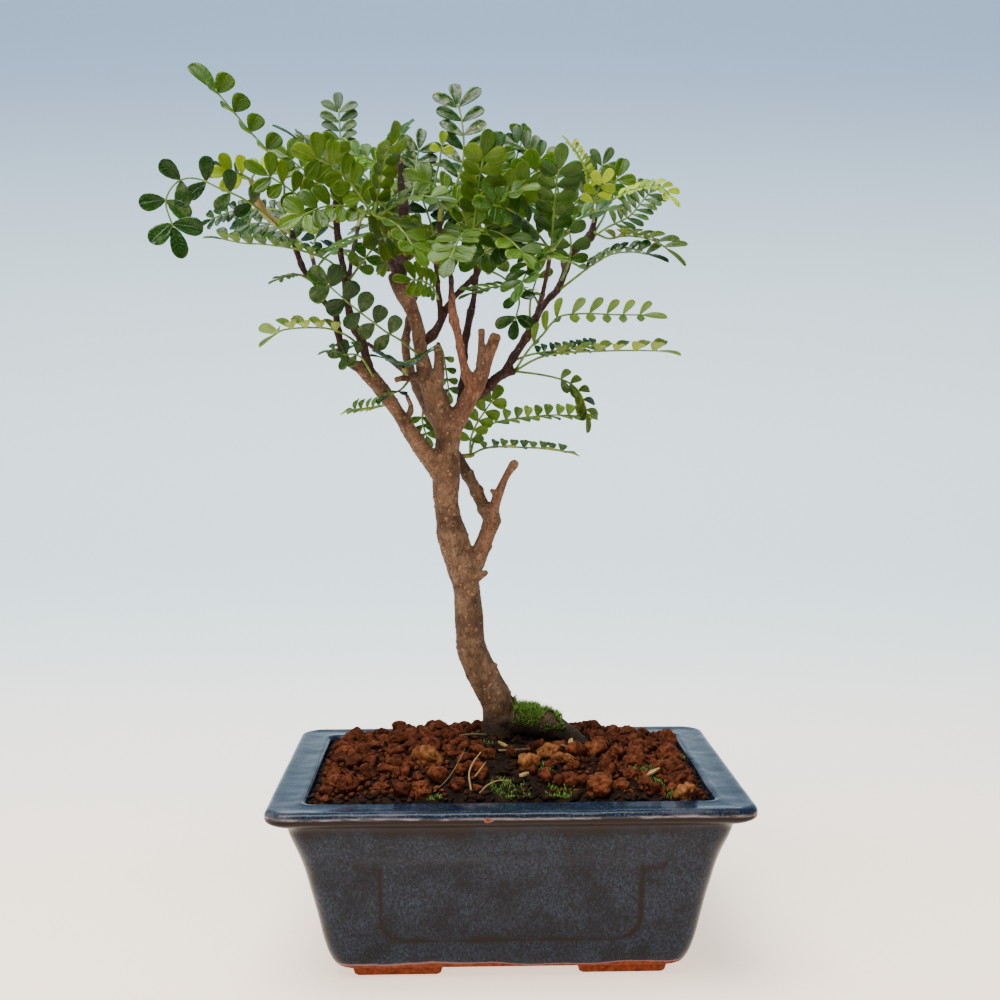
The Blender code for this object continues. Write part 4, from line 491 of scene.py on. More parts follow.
def skin(rows, count):
    """Closed faces over rows of count points, with the first and the last row filled."""
    faces = [(r * count + k, r * count + (k + 1) % count, (r + 1) * count + (k + 1) % count,
              (r + 1) * count + k) for r in range(rows - 1) for k in range(count)]
    return faces + [tuple(range(count - 1, -1, -1)), tuple(range((rows - 1) * count, rows * count))]


def tube(points, radii, sides, cap_scale=0.6):
    """Closed tube along the points, with a slightly drawn-in end."""
    points = [np.asarray(p, float) for p in points]
    ahead = [unit(points[min(i + 1, len(points) - 1)] - points[max(i - 1, 0)])
             for i in range(len(points))]
    side = unit(np.cross(ahead[0], np.array([0.13, 1.0, 0.21])))
    turn = np.linspace(0, 2 * math.pi, sides, endpoint=False)[:, None]
    rings = []
    for i, (centre, radius) in enumerate(zip(points, radii)):
        side = unit(side - ahead[i] * np.dot(side, ahead[i]))
        other = np.cross(ahead[i], side)
        rings.append(centre + radius * (np.cos(turn) * side + np.sin(turn) * other))
    last = points[-1] + ahead[-1] * radii[-1] * 0.35
    rings.append(last + (rings[-1] - points[-1]) * cap_scale)
    return np.concatenate(rings), skin(len(rings), sides)


def lump(rng, rounds, rough):
    """Unit lump of baked clay: broken faces with worn corners, hollows and a crumbly skin."""
    ball = bmesh.new()
    bmesh.ops.create_icosphere(ball, subdivisions=rounds, radius=1.0)
    shift = Vector((rng.uniform(0, 90), rng.uniform(0, 90), rng.uniform(0, 90)))
    breaks = [(Vector([rng.gauss(0, 1) for _ in range(3)]).normalized(), rng.uniform(0.5, 0.95))
              for _ in range(9)]
    verts = []
    for v in ball.verts:
        p = v.co.normalized()
        reach = min([1.2] + [d / max(p.dot(n), 0.05) for n, d in breaks])
        crumbs = (noise.noise(p * 1.6 + shift) + 0.7 * noise.noise(p * 4.1 + shift)
                  + 0.5 * noise.noise(p * 9.0 + shift))
        hollow = max(0.0, noise.noise(p * 2.3 - shift) - 0.12)
        verts.append(np.array(p * (0.1 + 0.95 * reach + rough * crumbs - 0.7 * hollow)))
    faces = [tuple(v.index for v in f.verts) for f in ball.faces]
    ball.free()
    return np.array(verts), faces


def spin(rng, flat):
    """Random turn about Z with a lean, as a 3 x 3 matrix, flattened in its own height."""
    lean = Quaternion((rng.uniform(-1, 1), rng.uniform(-1, 1), 0.01), rng.uniform(0, 0.5))
    turn = Quaternion((0, 0, 1), rng.uniform(0, 2 * math.pi))
    return np.array((lean @ turn).to_matrix()) @ np.diag([1.0, 0.86, flat])


# Finishes

class Wiring:
    """Short words for the nodes of one shader tree."""

    def __init__(self, tree):
        self.tree = tree

    def put(self, value, socket):
        if isinstance(value, bpy.types.NodeSocket):
            self.tree.links.new(value, socket)
        else:
            socket.default_value = (*value, 1.0) if socket.type == "RGBA" else value

    def node(self, kind, output, inputs, **settings):
        """Output of a new node, or all its outputs; sockets are given by name or number."""
        node = self.tree.nodes.new("ShaderNode" + kind)
        for key, value in settings.items():
            setattr(node, key, value)
        for key, value in inputs.items():
            self.put(value, node.inputs[key])
        return node.outputs if output is None else node.outputs[output]

    def group(self, effect_group, **inputs):
        inputs = {key.replace("_", " "): value for key, value in inputs.items()}
        return self.node("Group", None, inputs, node_tree=effect_group)

    def painted(self, name):
        return self.node("Attribute", "Fac", {}, attribute_name=name)

    def place(self, stretch=(1.0, 1.0, 1.0), shift=0.0):
        spot = self.node("TexCoord", "Object", {})
        return self.node("Mapping", "Vector", {"Vector": spot, "Location": (shift, shift, 0.0),
                                               "Scale": stretch})

    def grain(self, scale, detail=4.0, rough=0.55, **place):
        return self.node("TexNoise", "Fac", {"Vector": self.place(**place), "Scale": scale,
                                             "Detail": detail, "Roughness": rough})

    def specks(self, scale, low, high):
        """1 in the middle of each cell, falling to 0 from low to high away from it."""
        cell = self.node("TexVoronoi", "Distance", {"Vector": self.place(), "Scale": scale})
        return self.band(cell, low, high, 1.0, 0.0)

    def band(self, value, low, high, out_low=0.0, out_high=1.0):
        return self.node("MapRange", 0, dict(enumerate((value, low, high, out_low, out_high))),
                         interpolation_type="SMOOTHSTEP")

    def math(self, operation, a, b=0.0):
        return self.node("Math", 0, {0: a, 1: b}, operation=operation)

    def times(self, a, b):
        return self.math("MULTIPLY", a, b)

    def plus(self, a, b):
        return self.math("ADD", a, b)

    def minus(self, a, b):
        return self.math("SUBTRACT", a, b)

    def mix(self, share, a, b, blend="MIX"):
        return self.node("Mix", 2, {0: share, 6: a, 7: b}, data_type="RGBA", blend_type=blend)

    def over(self, colour, *layers):
        """The colour under layers of (share, colour)."""
        for share, layer in layers:
            colour = self.mix(share, colour, layer)
        return colour


def effect(name, colours, values):
    """Makes a wiring function a shader node group with the named colours and values as inputs."""
    def make(build):
        group = bpy.data.node_groups.new(name, "ShaderNodeTree")
        wires = Wiring(group)

        def add_socket(label, way, kind):
            group.interface.new_socket(label, in_out=way, socket_type="NodeSocket" + kind)

        for label in colours:
            add_socket(label, "INPUT", "Color")
        for label in values:
            add_socket(label, "INPUT", "Float")
        results = build(wires, group.nodes.new("NodeGroupInput").outputs)
        for label in results:
            add_socket(label, "OUTPUT", "Color" if label == "Color" else "Float")
        leave = group.nodes.new("NodeGroupOutput")
        for label, value in results.items():
            wires.put(value, leave.inputs[label])
        return group
    return make


def finish(name, roughness=0.5, bump=None, **settings):
    """Makes a wiring function a material; bump is the strength and depth of its Height."""
    def make(look):
        made = bpy.data.materials.new(name)
        made.use_nodes = True
        wires = Wiring(made.node_tree)
        sockets = {key.replace("_", " "): value for key, value in settings.items()}
        sockets = {"Roughness": roughness, **sockets, **look(wires)}
        if bump:
            grain = {"Strength": bump[0], "Distance": bump[1], "Height": sockets.pop("Height")}
            sockets["Normal"] = wires.node("Bump", "Normal", grain)
        for key, value in sockets.items():
            wires.put(value, made.node_tree.nodes["Principled BSDF"].inputs[key])
        return made
    return make


@effect("leaf pattern", ("Top", "Under", "Vein"), ("Gloss Roughness", "Bloom"))
def leaf_pattern(wires, given):
    """Midrib, side veins, oil spots and patches of one leaflet, from its painted values; its whitish top
    patches are part deposit, part painted sheen.
    """
    width = wires.math("ABSOLUTE", wires.painted("across"))
    under, mottle = wires.painted("under"), wires.painted("mottle")
    midrib = wires.band(width, 0.03, 0.11, 1.0, 0.0)
    rising = wires.minus(wires.times(wires.painted("along"), 7.0), wires.times(width, 1.3))
    wave = wires.math("ABSOLUTE", wires.minus(wires.math("FRACT", rising), 0.5))
    side_vein = wires.times(wires.band(wave, 0.0, 0.1, 1.0, 0.0), wires.band(width, 0.75, 1.0, 1.0, 0.0))
    blotch = wires.grain(420.0, 3.0)
    # Whitish patches on the upper face: in part a deposit on the leaf, in part painted sheen where the
    # overhead light would reflect
    bloom_sheen_patches = wires.times(wires.band(wires.grain(260.0, 5.0, 0.75, shift=0.4), 0.46, 0.62),
                       wires.band(mottle, 0.3, 0.75))
    vein = given["Vein"]
    face = wires.over(given["Top"], (wires.band(blotch, 0.35, 0.7, 0.0, 0.45), vein),
                      (wires.times(side_vein, 0.3), vein), (wires.times(midrib, 0.7), vein),
                      (wires.times(wires.specks(1500.0, 0.12, 0.3), 0.2), vein),
                      (wires.times(bloom_sheen_patches, given["Bloom"]), (0.30, 0.35, 0.28)))
    back = wires.mix(wires.times(midrib, 0.5), given["Under"], vein)
    shade = wires.mix(mottle, (0.5, 0.56, 0.5), (1.35, 1.26, 1.1))
    raised = wires.math("MAXIMUM", midrib, wires.times(side_vein, 0.5))
    rough = wires.plus(wires.band(blotch, 0.3, 0.8, 0.0, 0.16), wires.times(under, 0.3))
    return {"Color": wires.mix(1.0, wires.mix(under, face, back), shade, "MULTIPLY"),
            "Roughness": wires.plus(rough, given["Gloss Roughness"]),
            "Height": wires.minus(wires.times(blotch, 0.4), raised)}


@effect("glaze speckle", ("Deep", "Middle", "Speck", "Break"), ("Speck Share",))
def glaze_speckle(wires, given):
    """Speckled glaze that breaks to brown where it is thin."""
    fine = wires.grain(1250.0, 5.0, 0.8, stretch=(1.0, 1.0, 0.6))
    cloud = wires.grain(75.0, 5.0, 0.65, shift=0.3)
    streak = wires.grain(60.0, 3.0, 0.6, stretch=(1.0, 1.0, 0.35), shift=0.7)
    middle = wires.times(wires.band(fine, 0.36, 0.68), wires.band(cloud, 0.34, 0.62, 0.2, 1.0))
    specks = wires.times(wires.specks(1500.0, 0.1, 0.34), wires.band(fine, 0.45, 0.6))
    uneven = wires.times(wires.minus(streak, 0.5), 0.9)
    thin = wires.band(wires.plus(wires.painted("thin"), uneven), 0.3, 0.75)
    colour = wires.over(given["Deep"], (middle, given["Middle"]),
                        (wires.times(specks, given["Speck Share"]), given["Speck"]), (thin, given["Break"]))
    return {"Color": colour, "Thin": thin, "Height": wires.plus(cloud, wires.times(fine, 0.12))}


@effect("earth grain", ("Dark", "Light"), ("Grain",))
def earth_grain(wires, given):
    """Crumbled clay or earth: patches, dark pits and dust in the light parts."""
    patch = wires.grain(given["Grain"], 6.0, 0.65)
    pits = wires.specks(1100.0, 0.1, 0.4)
    colour = wires.over(given["Dark"], (wires.band(patch, 0.3, 0.7), given["Light"]),
                        (wires.times(pits, 0.5), given["Dark"]))
    tone = wires.mix(wires.painted("tone"), (0.6, 0.55, 0.5), (1.5, 1.45, 1.4))
    return {"Color": wires.mix(1.0, colour, tone, "MULTIPLY"),
            "Height": wires.minus(patch, wires.times(pits, 0.3))}


# Top, underside and vein colours of the leaves, how dull their gloss is, and how white their top's patches
# are: part deposit, part painted sheen
LEAF_TONES = {
    "dark": ((0.005, 0.025, 0.003), (0.036, 0.075, 0.015), (0.018, 0.052, 0.010), 0.2, 0.12),
    "mid": ((0.013, 0.050, 0.002), (0.052, 0.100, 0.010), (0.038, 0.094, 0.008), 0.26, 0.06),
    "light": ((0.034, 0.086, 0.002), (0.085, 0.140, 0.010), (0.074, 0.145, 0.010), 0.3, 0.03),
    "bright": ((0.040, 0.128, 0.003), (0.098, 0.185, 0.014), (0.092, 0.195, 0.015), 0.3, 0.03),
    # pale: in part painted light, lighter than the leaves' own green, for leaflets seen from below that the
    # light shines through
    "pale": ((0.078, 0.145, 0.012), (0.150, 0.215, 0.042), (0.150, 0.230, 0.038), 0.34, 0.04),
    "young": ((0.200, 0.320, 0.004), (0.260, 0.380, 0.012), (0.330, 0.450, 0.025), 0.32, 0.0),
    "olive": ((0.032, 0.060, 0.002), (0.082, 0.106, 0.009), (0.062, 0.100, 0.009), 0.28, 0.05),
    "grey": ((0.017, 0.050, 0.012), (0.060, 0.100, 0.028), (0.046, 0.092, 0.022), 0.34, 0.26),
    # silver: its whitish look is mostly painted sheen of reflected light, from its large last value
    "silver": ((0.008, 0.033, 0.005), (0.044, 0.086, 0.022), (0.040, 0.085, 0.020), 0.2, 0.7),
}


def leaf_finish(tone):
    top, under, vein, gloss, bloom_and_sheen = LEAF_TONES[tone]

    @finish(f"leaf_{tone}", bump=(0.5, 0.0003), Specular_IOR_Level=0.2, Subsurface_Weight=0.3,
            Subsurface_Radius=(0.9, 1.0, 0.15), Subsurface_Scale=0.0015)
    def made(wires):
        marks = wires.group(leaf_pattern, Top=top, Under=under, Vein=vein, Gloss_Roughness=gloss,
                            Bloom=bloom_and_sheen)
        return {"Base Color": marks["Color"], "Roughness": marks["Roughness"], "Height": marks["Height"]}
    return made


@finish("green_stalk", 0.42, bump=(0.3, 0.0002), Specular_IOR_Level=0.25)
def green_stalk(wires):
    streak = wires.grain(500.0, 3.0, stretch=(1.0, 1.0, 0.3))
    green = wires.mix(wires.band(streak, 0.3, 0.7), (0.06, 0.12, 0.012), (0.15, 0.23, 0.035))
    red = wires.mix(streak, (0.20, 0.09, 0.03), (0.34, 0.20, 0.08))
    return {"Base Color": wires.mix(wires.painted("ruddy"), green, red), "Height": streak}


@finish("bark", 0.75, bump=(0.9, 0.0008), Specular_IOR_Level=0.25)
def bark(wires):
    patch = wires.grain(130.0, 5.0, 0.6)
    fine = wires.grain(900.0, 5.0, 0.7, stretch=(1.0, 1.0, 0.45))
    streaks = wires.band(fine, 0.35, 0.7)
    shade = wires.band(wires.grain(55.0, 4.0, 0.7, shift=0.6), 0.44, 0.64, 0.0, 0.6)
    pale = wires.band(wires.grain(95.0, 4.0, 0.65, shift=1.3), 0.54, 0.66, 0.0, 0.5)
    speck, maroon = wires.specks(400.0, 0.14, 0.2), wires.painted("maroon")
    plain = wires.band(maroon, 0.2, 0.8, 0.6, 0.2)
    colour = wires.over(
        (0.072, 0.037, 0.020),
        (wires.band(patch, 0.32, 0.68), (0.21, 0.124, 0.074)),
        (wires.band(fine, 0.45, 0.75, 0.0, 0.6), (0.30, 0.19, 0.11)),
        (wires.band(fine, 0.46, 0.24, 0.0, 0.8), (0.022, 0.010, 0.006)),
        (shade, wires.mix(fine, (0.022, 0.010, 0.006), (0.095, 0.048, 0.026))),
        (pale, wires.mix(fine, (0.14, 0.085, 0.05), (0.34, 0.24, 0.16))),
        (wires.painted("rosy"), wires.mix(streaks, (0.12, 0.045, 0.025), (0.30, 0.14, 0.085))),
        (wires.band(maroon, 0.15, 0.7), wires.mix(streaks, (0.012, 0.004, 0.003), (0.055, 0.018, 0.013))),
        (wires.times(wires.painted("wart"), plain), (0.42, 0.23, 0.12)),
        (wires.times(speck, plain), (0.48, 0.29, 0.17)),
        (wires.times(wires.painted("crack"), 0.7), (0.03, 0.018, 0.012)),
        (wires.painted("cut"), wires.mix(patch, (0.12, 0.055, 0.026), (0.30, 0.19, 0.10))),
        (wires.painted("damp"), wires.mix(fine, (0.016, 0.011, 0.007), (0.06, 0.04, 0.022))))
    grit = wires.times(wires.specks(1250.0, 0.1, 0.45), 0.6)
    return {"Base Color": colour,
            "Roughness": wires.minus(wires.band(fine, 0.2, 0.8, 0.6, 0.9), wires.times(maroon, 0.2)),
            "Height": wires.plus(wires.plus(grit, speck), fine)}


@finish("blue_glaze", 0.3, bump=(0.35, 0.0005), Coat_Roughness=0.12, Specular_IOR_Level=0.09)
def blue_glaze(wires):
    wall = wires.group(glaze_speckle, Deep=(0.0035, 0.0040, 0.0078), Middle=(0.021, 0.035, 0.062),
                       Speck=(0.09, 0.14, 0.21), Break=(0.008, 0.0042, 0.004), Speck_Share=0.4)
    rim = wires.group(glaze_speckle, Deep=(0.003, 0.006, 0.014), Middle=(0.019, 0.035, 0.064),
                      Speck=(0.14, 0.19, 0.25), Break=(0.006, 0.0024, 0.0024), Speck_Share=0.85)
    drips = wires.band(wires.grain(230.0, 4.0, 0.7, stretch=(0.35, 0.35, 2.0)), 0.4, 0.6, 0.12, 1.0)
    # Milky white where painted: a painted highlight line along the lip, and milky glaze on the rim, broken
    # into drips
    milk = wires.times(wires.times(wires.painted("milk"), drips), 0.7)
    clay_grain = wires.grain(420.0, 5.0, 0.7, shift=0.2)
    uneven = wires.times(wires.minus(wires.grain(130.0, 4.0, shift=0.9), 0.5), 0.5)
    edge = wires.plus(wires.painted("bare"), uneven)
    bare = wires.band(edge, 0.6, 0.7)
    # The bare clay is painted about half as bright as its own colour, as painted shade for the shadow under
    # the pot on the feet; the chips and the bottom band share it
    clay = wires.mix(wires.band(clay_grain, 0.3, 0.7), (0.075, 0.014, 0.006), (0.22, 0.050, 0.018))
    blush = wires.mix(clay_grain, (0.11, 0.050, 0.055), (0.22, 0.115, 0.12))
    gloss = wires.mix(wall["Thin"], (0.24, 0.24, 0.24), (0.36, 0.36, 0.36))
    return {"Base Color": wires.over(wall["Color"], (wires.painted("rim"), rim["Color"]),
                                     (milk, (0.34, 0.30, 0.34)), (wires.band(edge, 0.22, 0.34), blush),
                                     (bare, clay)),
            "Roughness": wires.mix(bare, gloss, (0.85, 0.85, 0.85)),
            "Coat Weight": wires.band(bare, 0.0, 1.0, 0.1, 0.0),
            "Height": wires.plus(wall["Height"], wires.times(wires.times(clay_grain, bare), 0.8))}


def earth_finish(name, dark, light, grain):
    @finish(name, 0.95, bump=(0.8, 0.0006), Specular_IOR_Level=0.15)
    def made(wires):
        look = wires.group(earth_grain, Dark=dark, Light=light, Grain=grain)
        return {"Base Color": look["Color"], "Height": look["Height"]}
    return made


@finish("clay_crumb", 0.92, bump=(0.9, 0.0006), Specular_IOR_Level=0.12)
def clay_crumb(wires):
    red = wires.group(earth_grain, Dark=(0.020, 0.005, 0.0018), Light=(0.150, 0.042, 0.016), Grain=420.0)
    ochre = wires.group(earth_grain, Dark=(0.060, 0.020, 0.006), Light=(0.25, 0.105, 0.034), Grain=360.0)
    return {"Base Color": wires.mix(wires.painted("ochre"), red["Color"], ochre["Color"]),
            "Height": red["Height"]}


@finish("moss", 0.7)
def moss_green(wires):
    tip = wires.mix(wires.painted("mottle"), (0.05, 0.16, 0.008), (0.24, 0.46, 0.04))
    return {"Base Color": wires.mix(wires.painted("along"), (0.02, 0.05, 0.006), tip)}


@finish("screen_plastic", 0.6, bump=(0.2, 0.0002))
def screen_plastic(wires):
    rub = wires.grain(700.0, 4.0)
    return {"Base Color": wires.mix(rub, (0.012, 0.012, 0.013), (0.035, 0.034, 0.032)),
            "Roughness": wires.band(rub, 0.3, 0.7, 0.5, 0.7), "Height": rub}


@finish("litter", 0.7, bump=(0.4, 0.0003))
def dry_straw(wires):
    fibre = wires.grain(700.0, 4.0, stretch=(1.0, 0.3, 1.0))
    straw = wires.mix(fibre, (0.20, 0.11, 0.03), (0.52, 0.38, 0.12))
    return {"Base Color": wires.mix(wires.painted("ochre"), (0.012, 0.010, 0.010), straw), "Height": fibre}


@finish("pale_paper", 0.9, Specular_IOR_Level=0.1, Emission_Strength=1.42)
def pale_paper(wires):
    height, depth = (wires.node("SeparateXYZ", axis, {"Vector": wires.place()}) for axis in "ZY")
    ground = wires.mix(wires.band(depth, -0.25, 0.9), (1.0, 0.80, 0.63), (0.73, 0.88, 0.91))
    colour = wires.mix(wires.band(height, 0.05, 0.85), ground, (0.20, 0.29, 0.43))
    return {"Base Color": colour, "Emission Color": colour}


# Pot

RIM_LENGTH, RIM_DEPTH, RIM_BAND = 170.0, 120.0, 12.5
NARROWER = (RIM_LENGTH - RIM_DEPTH) / 2
INNER_X = RIM_LENGTH / 2 - RIM_BAND
INNER_Y = INNER_X - NARROWER
FLOOR_TOP, WALL_BOTTOM, FOOT_BOTTOM = 5.0, -1.0, -4.2
GAP, DRAIN_X, DRAIN_RADIUS, SCREEN_SIDE = 0.3, 32.0, 6.0, 20.0

# (half length, height) of the wall from the middle of its base up, over the lip and down inside
POT_PROFILE = ((24.0, -1.0), (45.0, -1.0), (58.0, -1.0), (60.8, -0.95), (62.4, -0.3), (63.7, 1.0),
               (65.4, 5.0), (67.0, 11.0), (68.5, 18.6), (70.7, 29.0), (73.6, 41.0), (77.1, 51.0),
               (78.1, 54.6), (79.6, 56.5), (82.6, 57.5), (84.6, 58.9), (85.0, 60.4), (84.8, 61.9),
               (83.9, 62.8), (82.4, 63.0), (79.0, 62.75), (75.5, 62.8), (73.4, 62.9), (72.4, 62.4),
               (71.7, 61.0), (69.4, 52.0), (64.7, 31.0), (60.2, 9.5), (59.2, 6.2), (57.5, 5.0),
               (48.0, 5.0), (27.0, 5.0))
PROFILE_STEPS = 5
# Where on the profile, counted in its points, the low wall ends, the lip begins, the lip is
# widest, the rim begins and ends, and the floor is near
LOW_WALL, LIP, LIP_EDGE, RIM, RIM_END, FLOOR = 8, 14, 17, 19, 24, 27
OUTER_CORNER, INNER_CORNER = 7.0, 4.5
PANEL_DEPTH, PANEL_LOW, PANEL_HIGH, PANEL_CORNER, GROOVE = 0.7, 11.5, 42.0, 8.0, 2.6
# Chips in the glaze: place and size
CHIPS = ((84.4, -59.4, 60.6, 2.6), (-8.0, -60.0, 60.4, 1.3), (-84.6, -20.0, 61.0, 1.0))


def wall_ring(half_x, half_y, radius, per_long=110, per_short=72, per_corner=12):
    """Rounded rectangle as (x, y) points, counter-clockwise from the right end's front."""
    radius = min(radius, half_y * 0.9)
    half, corners = np.array([half_x, half_y]), np.array([(1, -1), (1, 1), (-1, 1), (-1, -1)])
    ring = []
    for k, count in enumerate((per_short, per_long, per_short, per_long)):
        straight = half - radius * np.array([k % 2, 1 - k % 2])
        a, b = corners[k] * straight, corners[(k + 1) % 4] * straight
        ring += [a + (b - a) * i / count for i in range(count)]
        centre = corners[(k + 1) % 4] * (half - radius)
        for i in range(per_corner):
            angle = math.radians(90 * k + 90 * i / per_corner)
            ring.append(centre + radius * np.array([math.cos(angle), math.sin(angle)]))
    return np.array(ring)


def panel_depth(t, z, half_width, shoulder):
    """Depth of the sunk panel of a wall at t along it and height z, and how near its edge is."""
    qx = np.maximum(np.abs(t) - (half_width - PANEL_CORNER), 0.0)
    qz = np.maximum(PANEL_LOW + PANEL_CORNER - z, 0.0)
    edge = np.maximum(np.hypot(qx, qz) - PANEL_CORNER, z - PANEL_HIGH)
    groove = np.abs(z - (PANEL_HIGH - GROOVE / 2)) - GROOVE / 2
    edge = np.minimum(edge, np.maximum(np.abs(t) - shoulder, groove))
    return PANEL_DEPTH * ease(0.5, -0.7, edge), np.exp(-edge ** 2)


def build_pot():
    profile = smooth([np.array([x, z, 0.0]) for x, z in POT_PROFILE], PROFILE_STEPS)
    rings = []
    for k, (x, z, _) in enumerate(profile):
        corner = INNER_CORNER if k > RIM * PROFILE_STEPS else OUTER_CORNER
        ring = wall_ring(x, x - NARROWER if x > NARROWER + 2 else 2.0, corner)
        rings.append(np.column_stack([ring, np.full(len(ring), z)]))
    grid = np.array(rings)
    x, y, z = grid[..., 0], grid[..., 1], grid[..., 2]
    half = profile[:, :1]
    outer = (np.arange(len(rings)) < LIP * PROFILE_STEPS)[:, None] & (z > 2)
    long_wall, end_wall = np.abs(y) > half - NARROWER - 0.01, np.abs(x) > half - 0.01
    sunk, edge = np.zeros(z.shape), np.zeros(z.shape)
    for wall, panel in ((long_wall, panel_depth(x, z, 46.0, 54.0)),
                        (end_wall, panel_depth(y, z, 22.0, 29.0))):
        sunk += np.where(outer & wall, panel[0], 0)
        edge += np.where(outer & wall, panel[1], 0)
    grid[..., 1] -= np.sign(y) * np.where(long_wall, sunk, 0)
    grid[..., 0] -= np.sign(x) * np.where(end_wall & ~long_wall, sunk, 0)
    flat = grid.reshape(-1, 3)
    fx, fy, fz = flat.T
    station = np.repeat(np.arange(len(rings)), len(rings[0])) / PROFILE_STEPS
    wobble = np.array([noise.noise(Vector(p / 17.0)) + 0.4 * noise.noise(Vector(p / 6.0)) for p in flat])
    outward = flat * np.array([1.0, 1.0, 0.0])
    outward /= np.maximum(np.linalg.norm(outward, axis=1), 1.0)[:, None]
    hand = (ease(1.0, 8.0, fz) * wobble)[:, None]
    shown = flat - outward * np.maximum(hand + 0.2, 0.05) * 0.28
    shown[:, 2] -= np.where(fz > 62.0, np.abs(wobble) * 0.22, 0.0)
    thin = edge.reshape(-1) * 0.95 + near(fz, 59.2, 1.4) * (station < LIP_EDGE) * 2.0
    thin += ease(47.0, 55.5, fz) * (station < LIP) * 0.62
    thin += 0.3 * near(fz, 5.0, 2.5) * (station < LOW_WALL)
    rim = ease(60.6, 62.0, fz) * (station > LIP) * (station < RIM_END)
    # Milky white: the narrow line round the lip's widest part is a painted highlight of the lip's roundness;
    # the share on the rim is milky glaze
    milk = near(fz - 0.25 * wobble, 60.9, 0.36) * (station < RIM) + 0.3 * rim * wobble
    uneven = 1.1 * np.sin(fx / 11.0) + 0.8 * np.sin(fy / 7.0 + 1.0) + 0.5 * np.sin(fx / 3.9)
    left = ease(5.0, -45.0, fx)
    bare = ease(2.6 + 1.6 * left, 0.6 - 0.6 * left, fz + uneven * 0.5) * (station < LOW_WALL)
    bare = np.where(station > FLOOR, 1.0, bare)
    for *spot, size in CHIPS:
        bare = np.maximum(bare, ease(size, size * 0.5, np.linalg.norm(flat - spot, axis=1)))
    shape = Shape()
    shape.add(shown, skin(len(rings), len(rings[0])), thin=thin, rim=rim, milk=np.clip(milk, 0, 1),
              bare=np.clip(bare, 0, 1))
    for sx in (1, -1):
        for sy in (1, -1):
            add_foot(shape, sx, sy)
    drill_drains(shape.piece("pot_body", "blue_glaze", [blue_glaze], ["pot"]))


def add_foot(shape, sx, sy):
    """Corner foot in an L with worn edges, sunk a little into the underside."""
    outline = ((0, 0), (34, 0), (34, 11), (11, 11), (11, 20), (0, 20))
    rings = []
    for z, draw_in in ((FOOT_BOTTOM, 2.1), (FOOT_BOTTOM + 0.35, 1.6), (FOOT_BOTTOM + 1.0, 1.35),
                       (WALL_BOTTOM + 0.6, 0.6)):
        ring = []
        for k, corner in enumerate(outline):
            drawn = np.array([c + draw_in * (1 if c == 0 else -1) for c in corner])
            for other in (outline[k - 1], outline[(k + 1) % len(outline)]):
                step = np.array(other, float) - corner
                a, b = drawn + step / np.linalg.norm(step)
                ring.append((sx * (57.5 - a), sy * (36.5 - b), z))
        rings.append(ring)
    faces = skin(len(rings), len(rings[0]))
    if sx * sy < 0:
        faces = [tuple(reversed(face)) for face in faces]
    shape.add(np.array(rings).reshape(-1, 3), faces, bare=1.0)


def drill_drains(pot):
    """Two round drain holes through the floor."""
    drills = bmesh.new()
    for sx in (1, -1):
        spot = Matrix.Translation(((sx * DRAIN_X - MIDDLE[0]) * MM, -MIDDLE[1] * MM, 6 * MM))
        bmesh.ops.create_cone(drills, cap_ends=True, segments=40, radius1=DRAIN_RADIUS * MM,
                              radius2=DRAIN_RADIUS * MM, depth=14 * MM, matrix=spot)
    mesh = bpy.data.meshes.new("drain_drill")
    drills.to_mesh(mesh)
    drills.free()
    drill = bpy.data.objects.new("drain_drill", mesh)
    bpy.context.scene.collection.objects.link(drill)
    cut = pot.modifiers.new("drains", "BOOLEAN")
    cut.operation, cut.solver, cut.object = "DIFFERENCE", "EXACT", drill
    apply_modifiers(pot)
    bpy.data.objects.remove(drill, do_unlink=True)
    pot.data.shade_smooth()
    pot.data.set_sharp_from_angle(angle=math.radians(50))


def build_screens():
    """Woven drainage meshes with their threads, in the thickness of the solids they stand for."""
    half, low, threads, stops = SCREEN_SIDE / 2 - 0.3, FLOOR_TOP + GAP, 13, 25
    for number, sx in enumerate((-1, 1), 1):
        shape = Shape()
        for k in range(threads):
            across = np.full(stops, -half + 2 * half * k / (threads - 1))
            for lay in (0, 1):
                steps = np.linspace(-half, half, stops)
                height = low + (0.5 + 0.16 * np.cos(steps * math.pi * 6 / half + math.pi * (k + lay)))
                path = np.column_stack([steps, across, height] if lay else [across, steps, height])
                shape.add(*tube(path + [sx * DRAIN_X, 0, 0], [0.3] * stops, 6))
        shape.piece(f"drain_mesh_{number}", "screen_plastic", [screen_plastic],
                    [f"drain_screen_{number}"])


# Soil

SOIL_EDGE, SOIL_RISE = 61.0, 12.0
STONE_COUNT, CRUMB_COUNT, PEAT_COUNT = 60, 730, 640
# The earth's top: its grid, how far it stays inside the wall, and the radius of its corners
EARTH_COLUMNS, EARTH_ROWS, EARTH_INSET, EARTH_CORNER = 168, 110, 1.75, 5.0


def soil_height(x, y):
    ex = max(0.0, 1 - abs(x / INNER_X) ** 2.2)
    ey = max(0.0, 1 - abs(y / INNER_Y) ** 2.2)
    return SOIL_EDGE + SOIL_RISE * (ex * ey) ** 0.8


def on_soil(x, y, up):
    return np.array([x, y, soil_height(x, y) + up])


def scatter(rng, inset):
    """Random place (x, y) on the soil, at least the inset away from the pot's wall."""
    x = rng.uniform(-1, 1) * (INNER_X - inset)
    return x, rng.uniform(-1, 1) * (INNER_Y - inset)


def crowded(places, x, y, size, share):
    return any(math.hypot(x - a, y - b) < (size + c) * share for a, b, c in places)


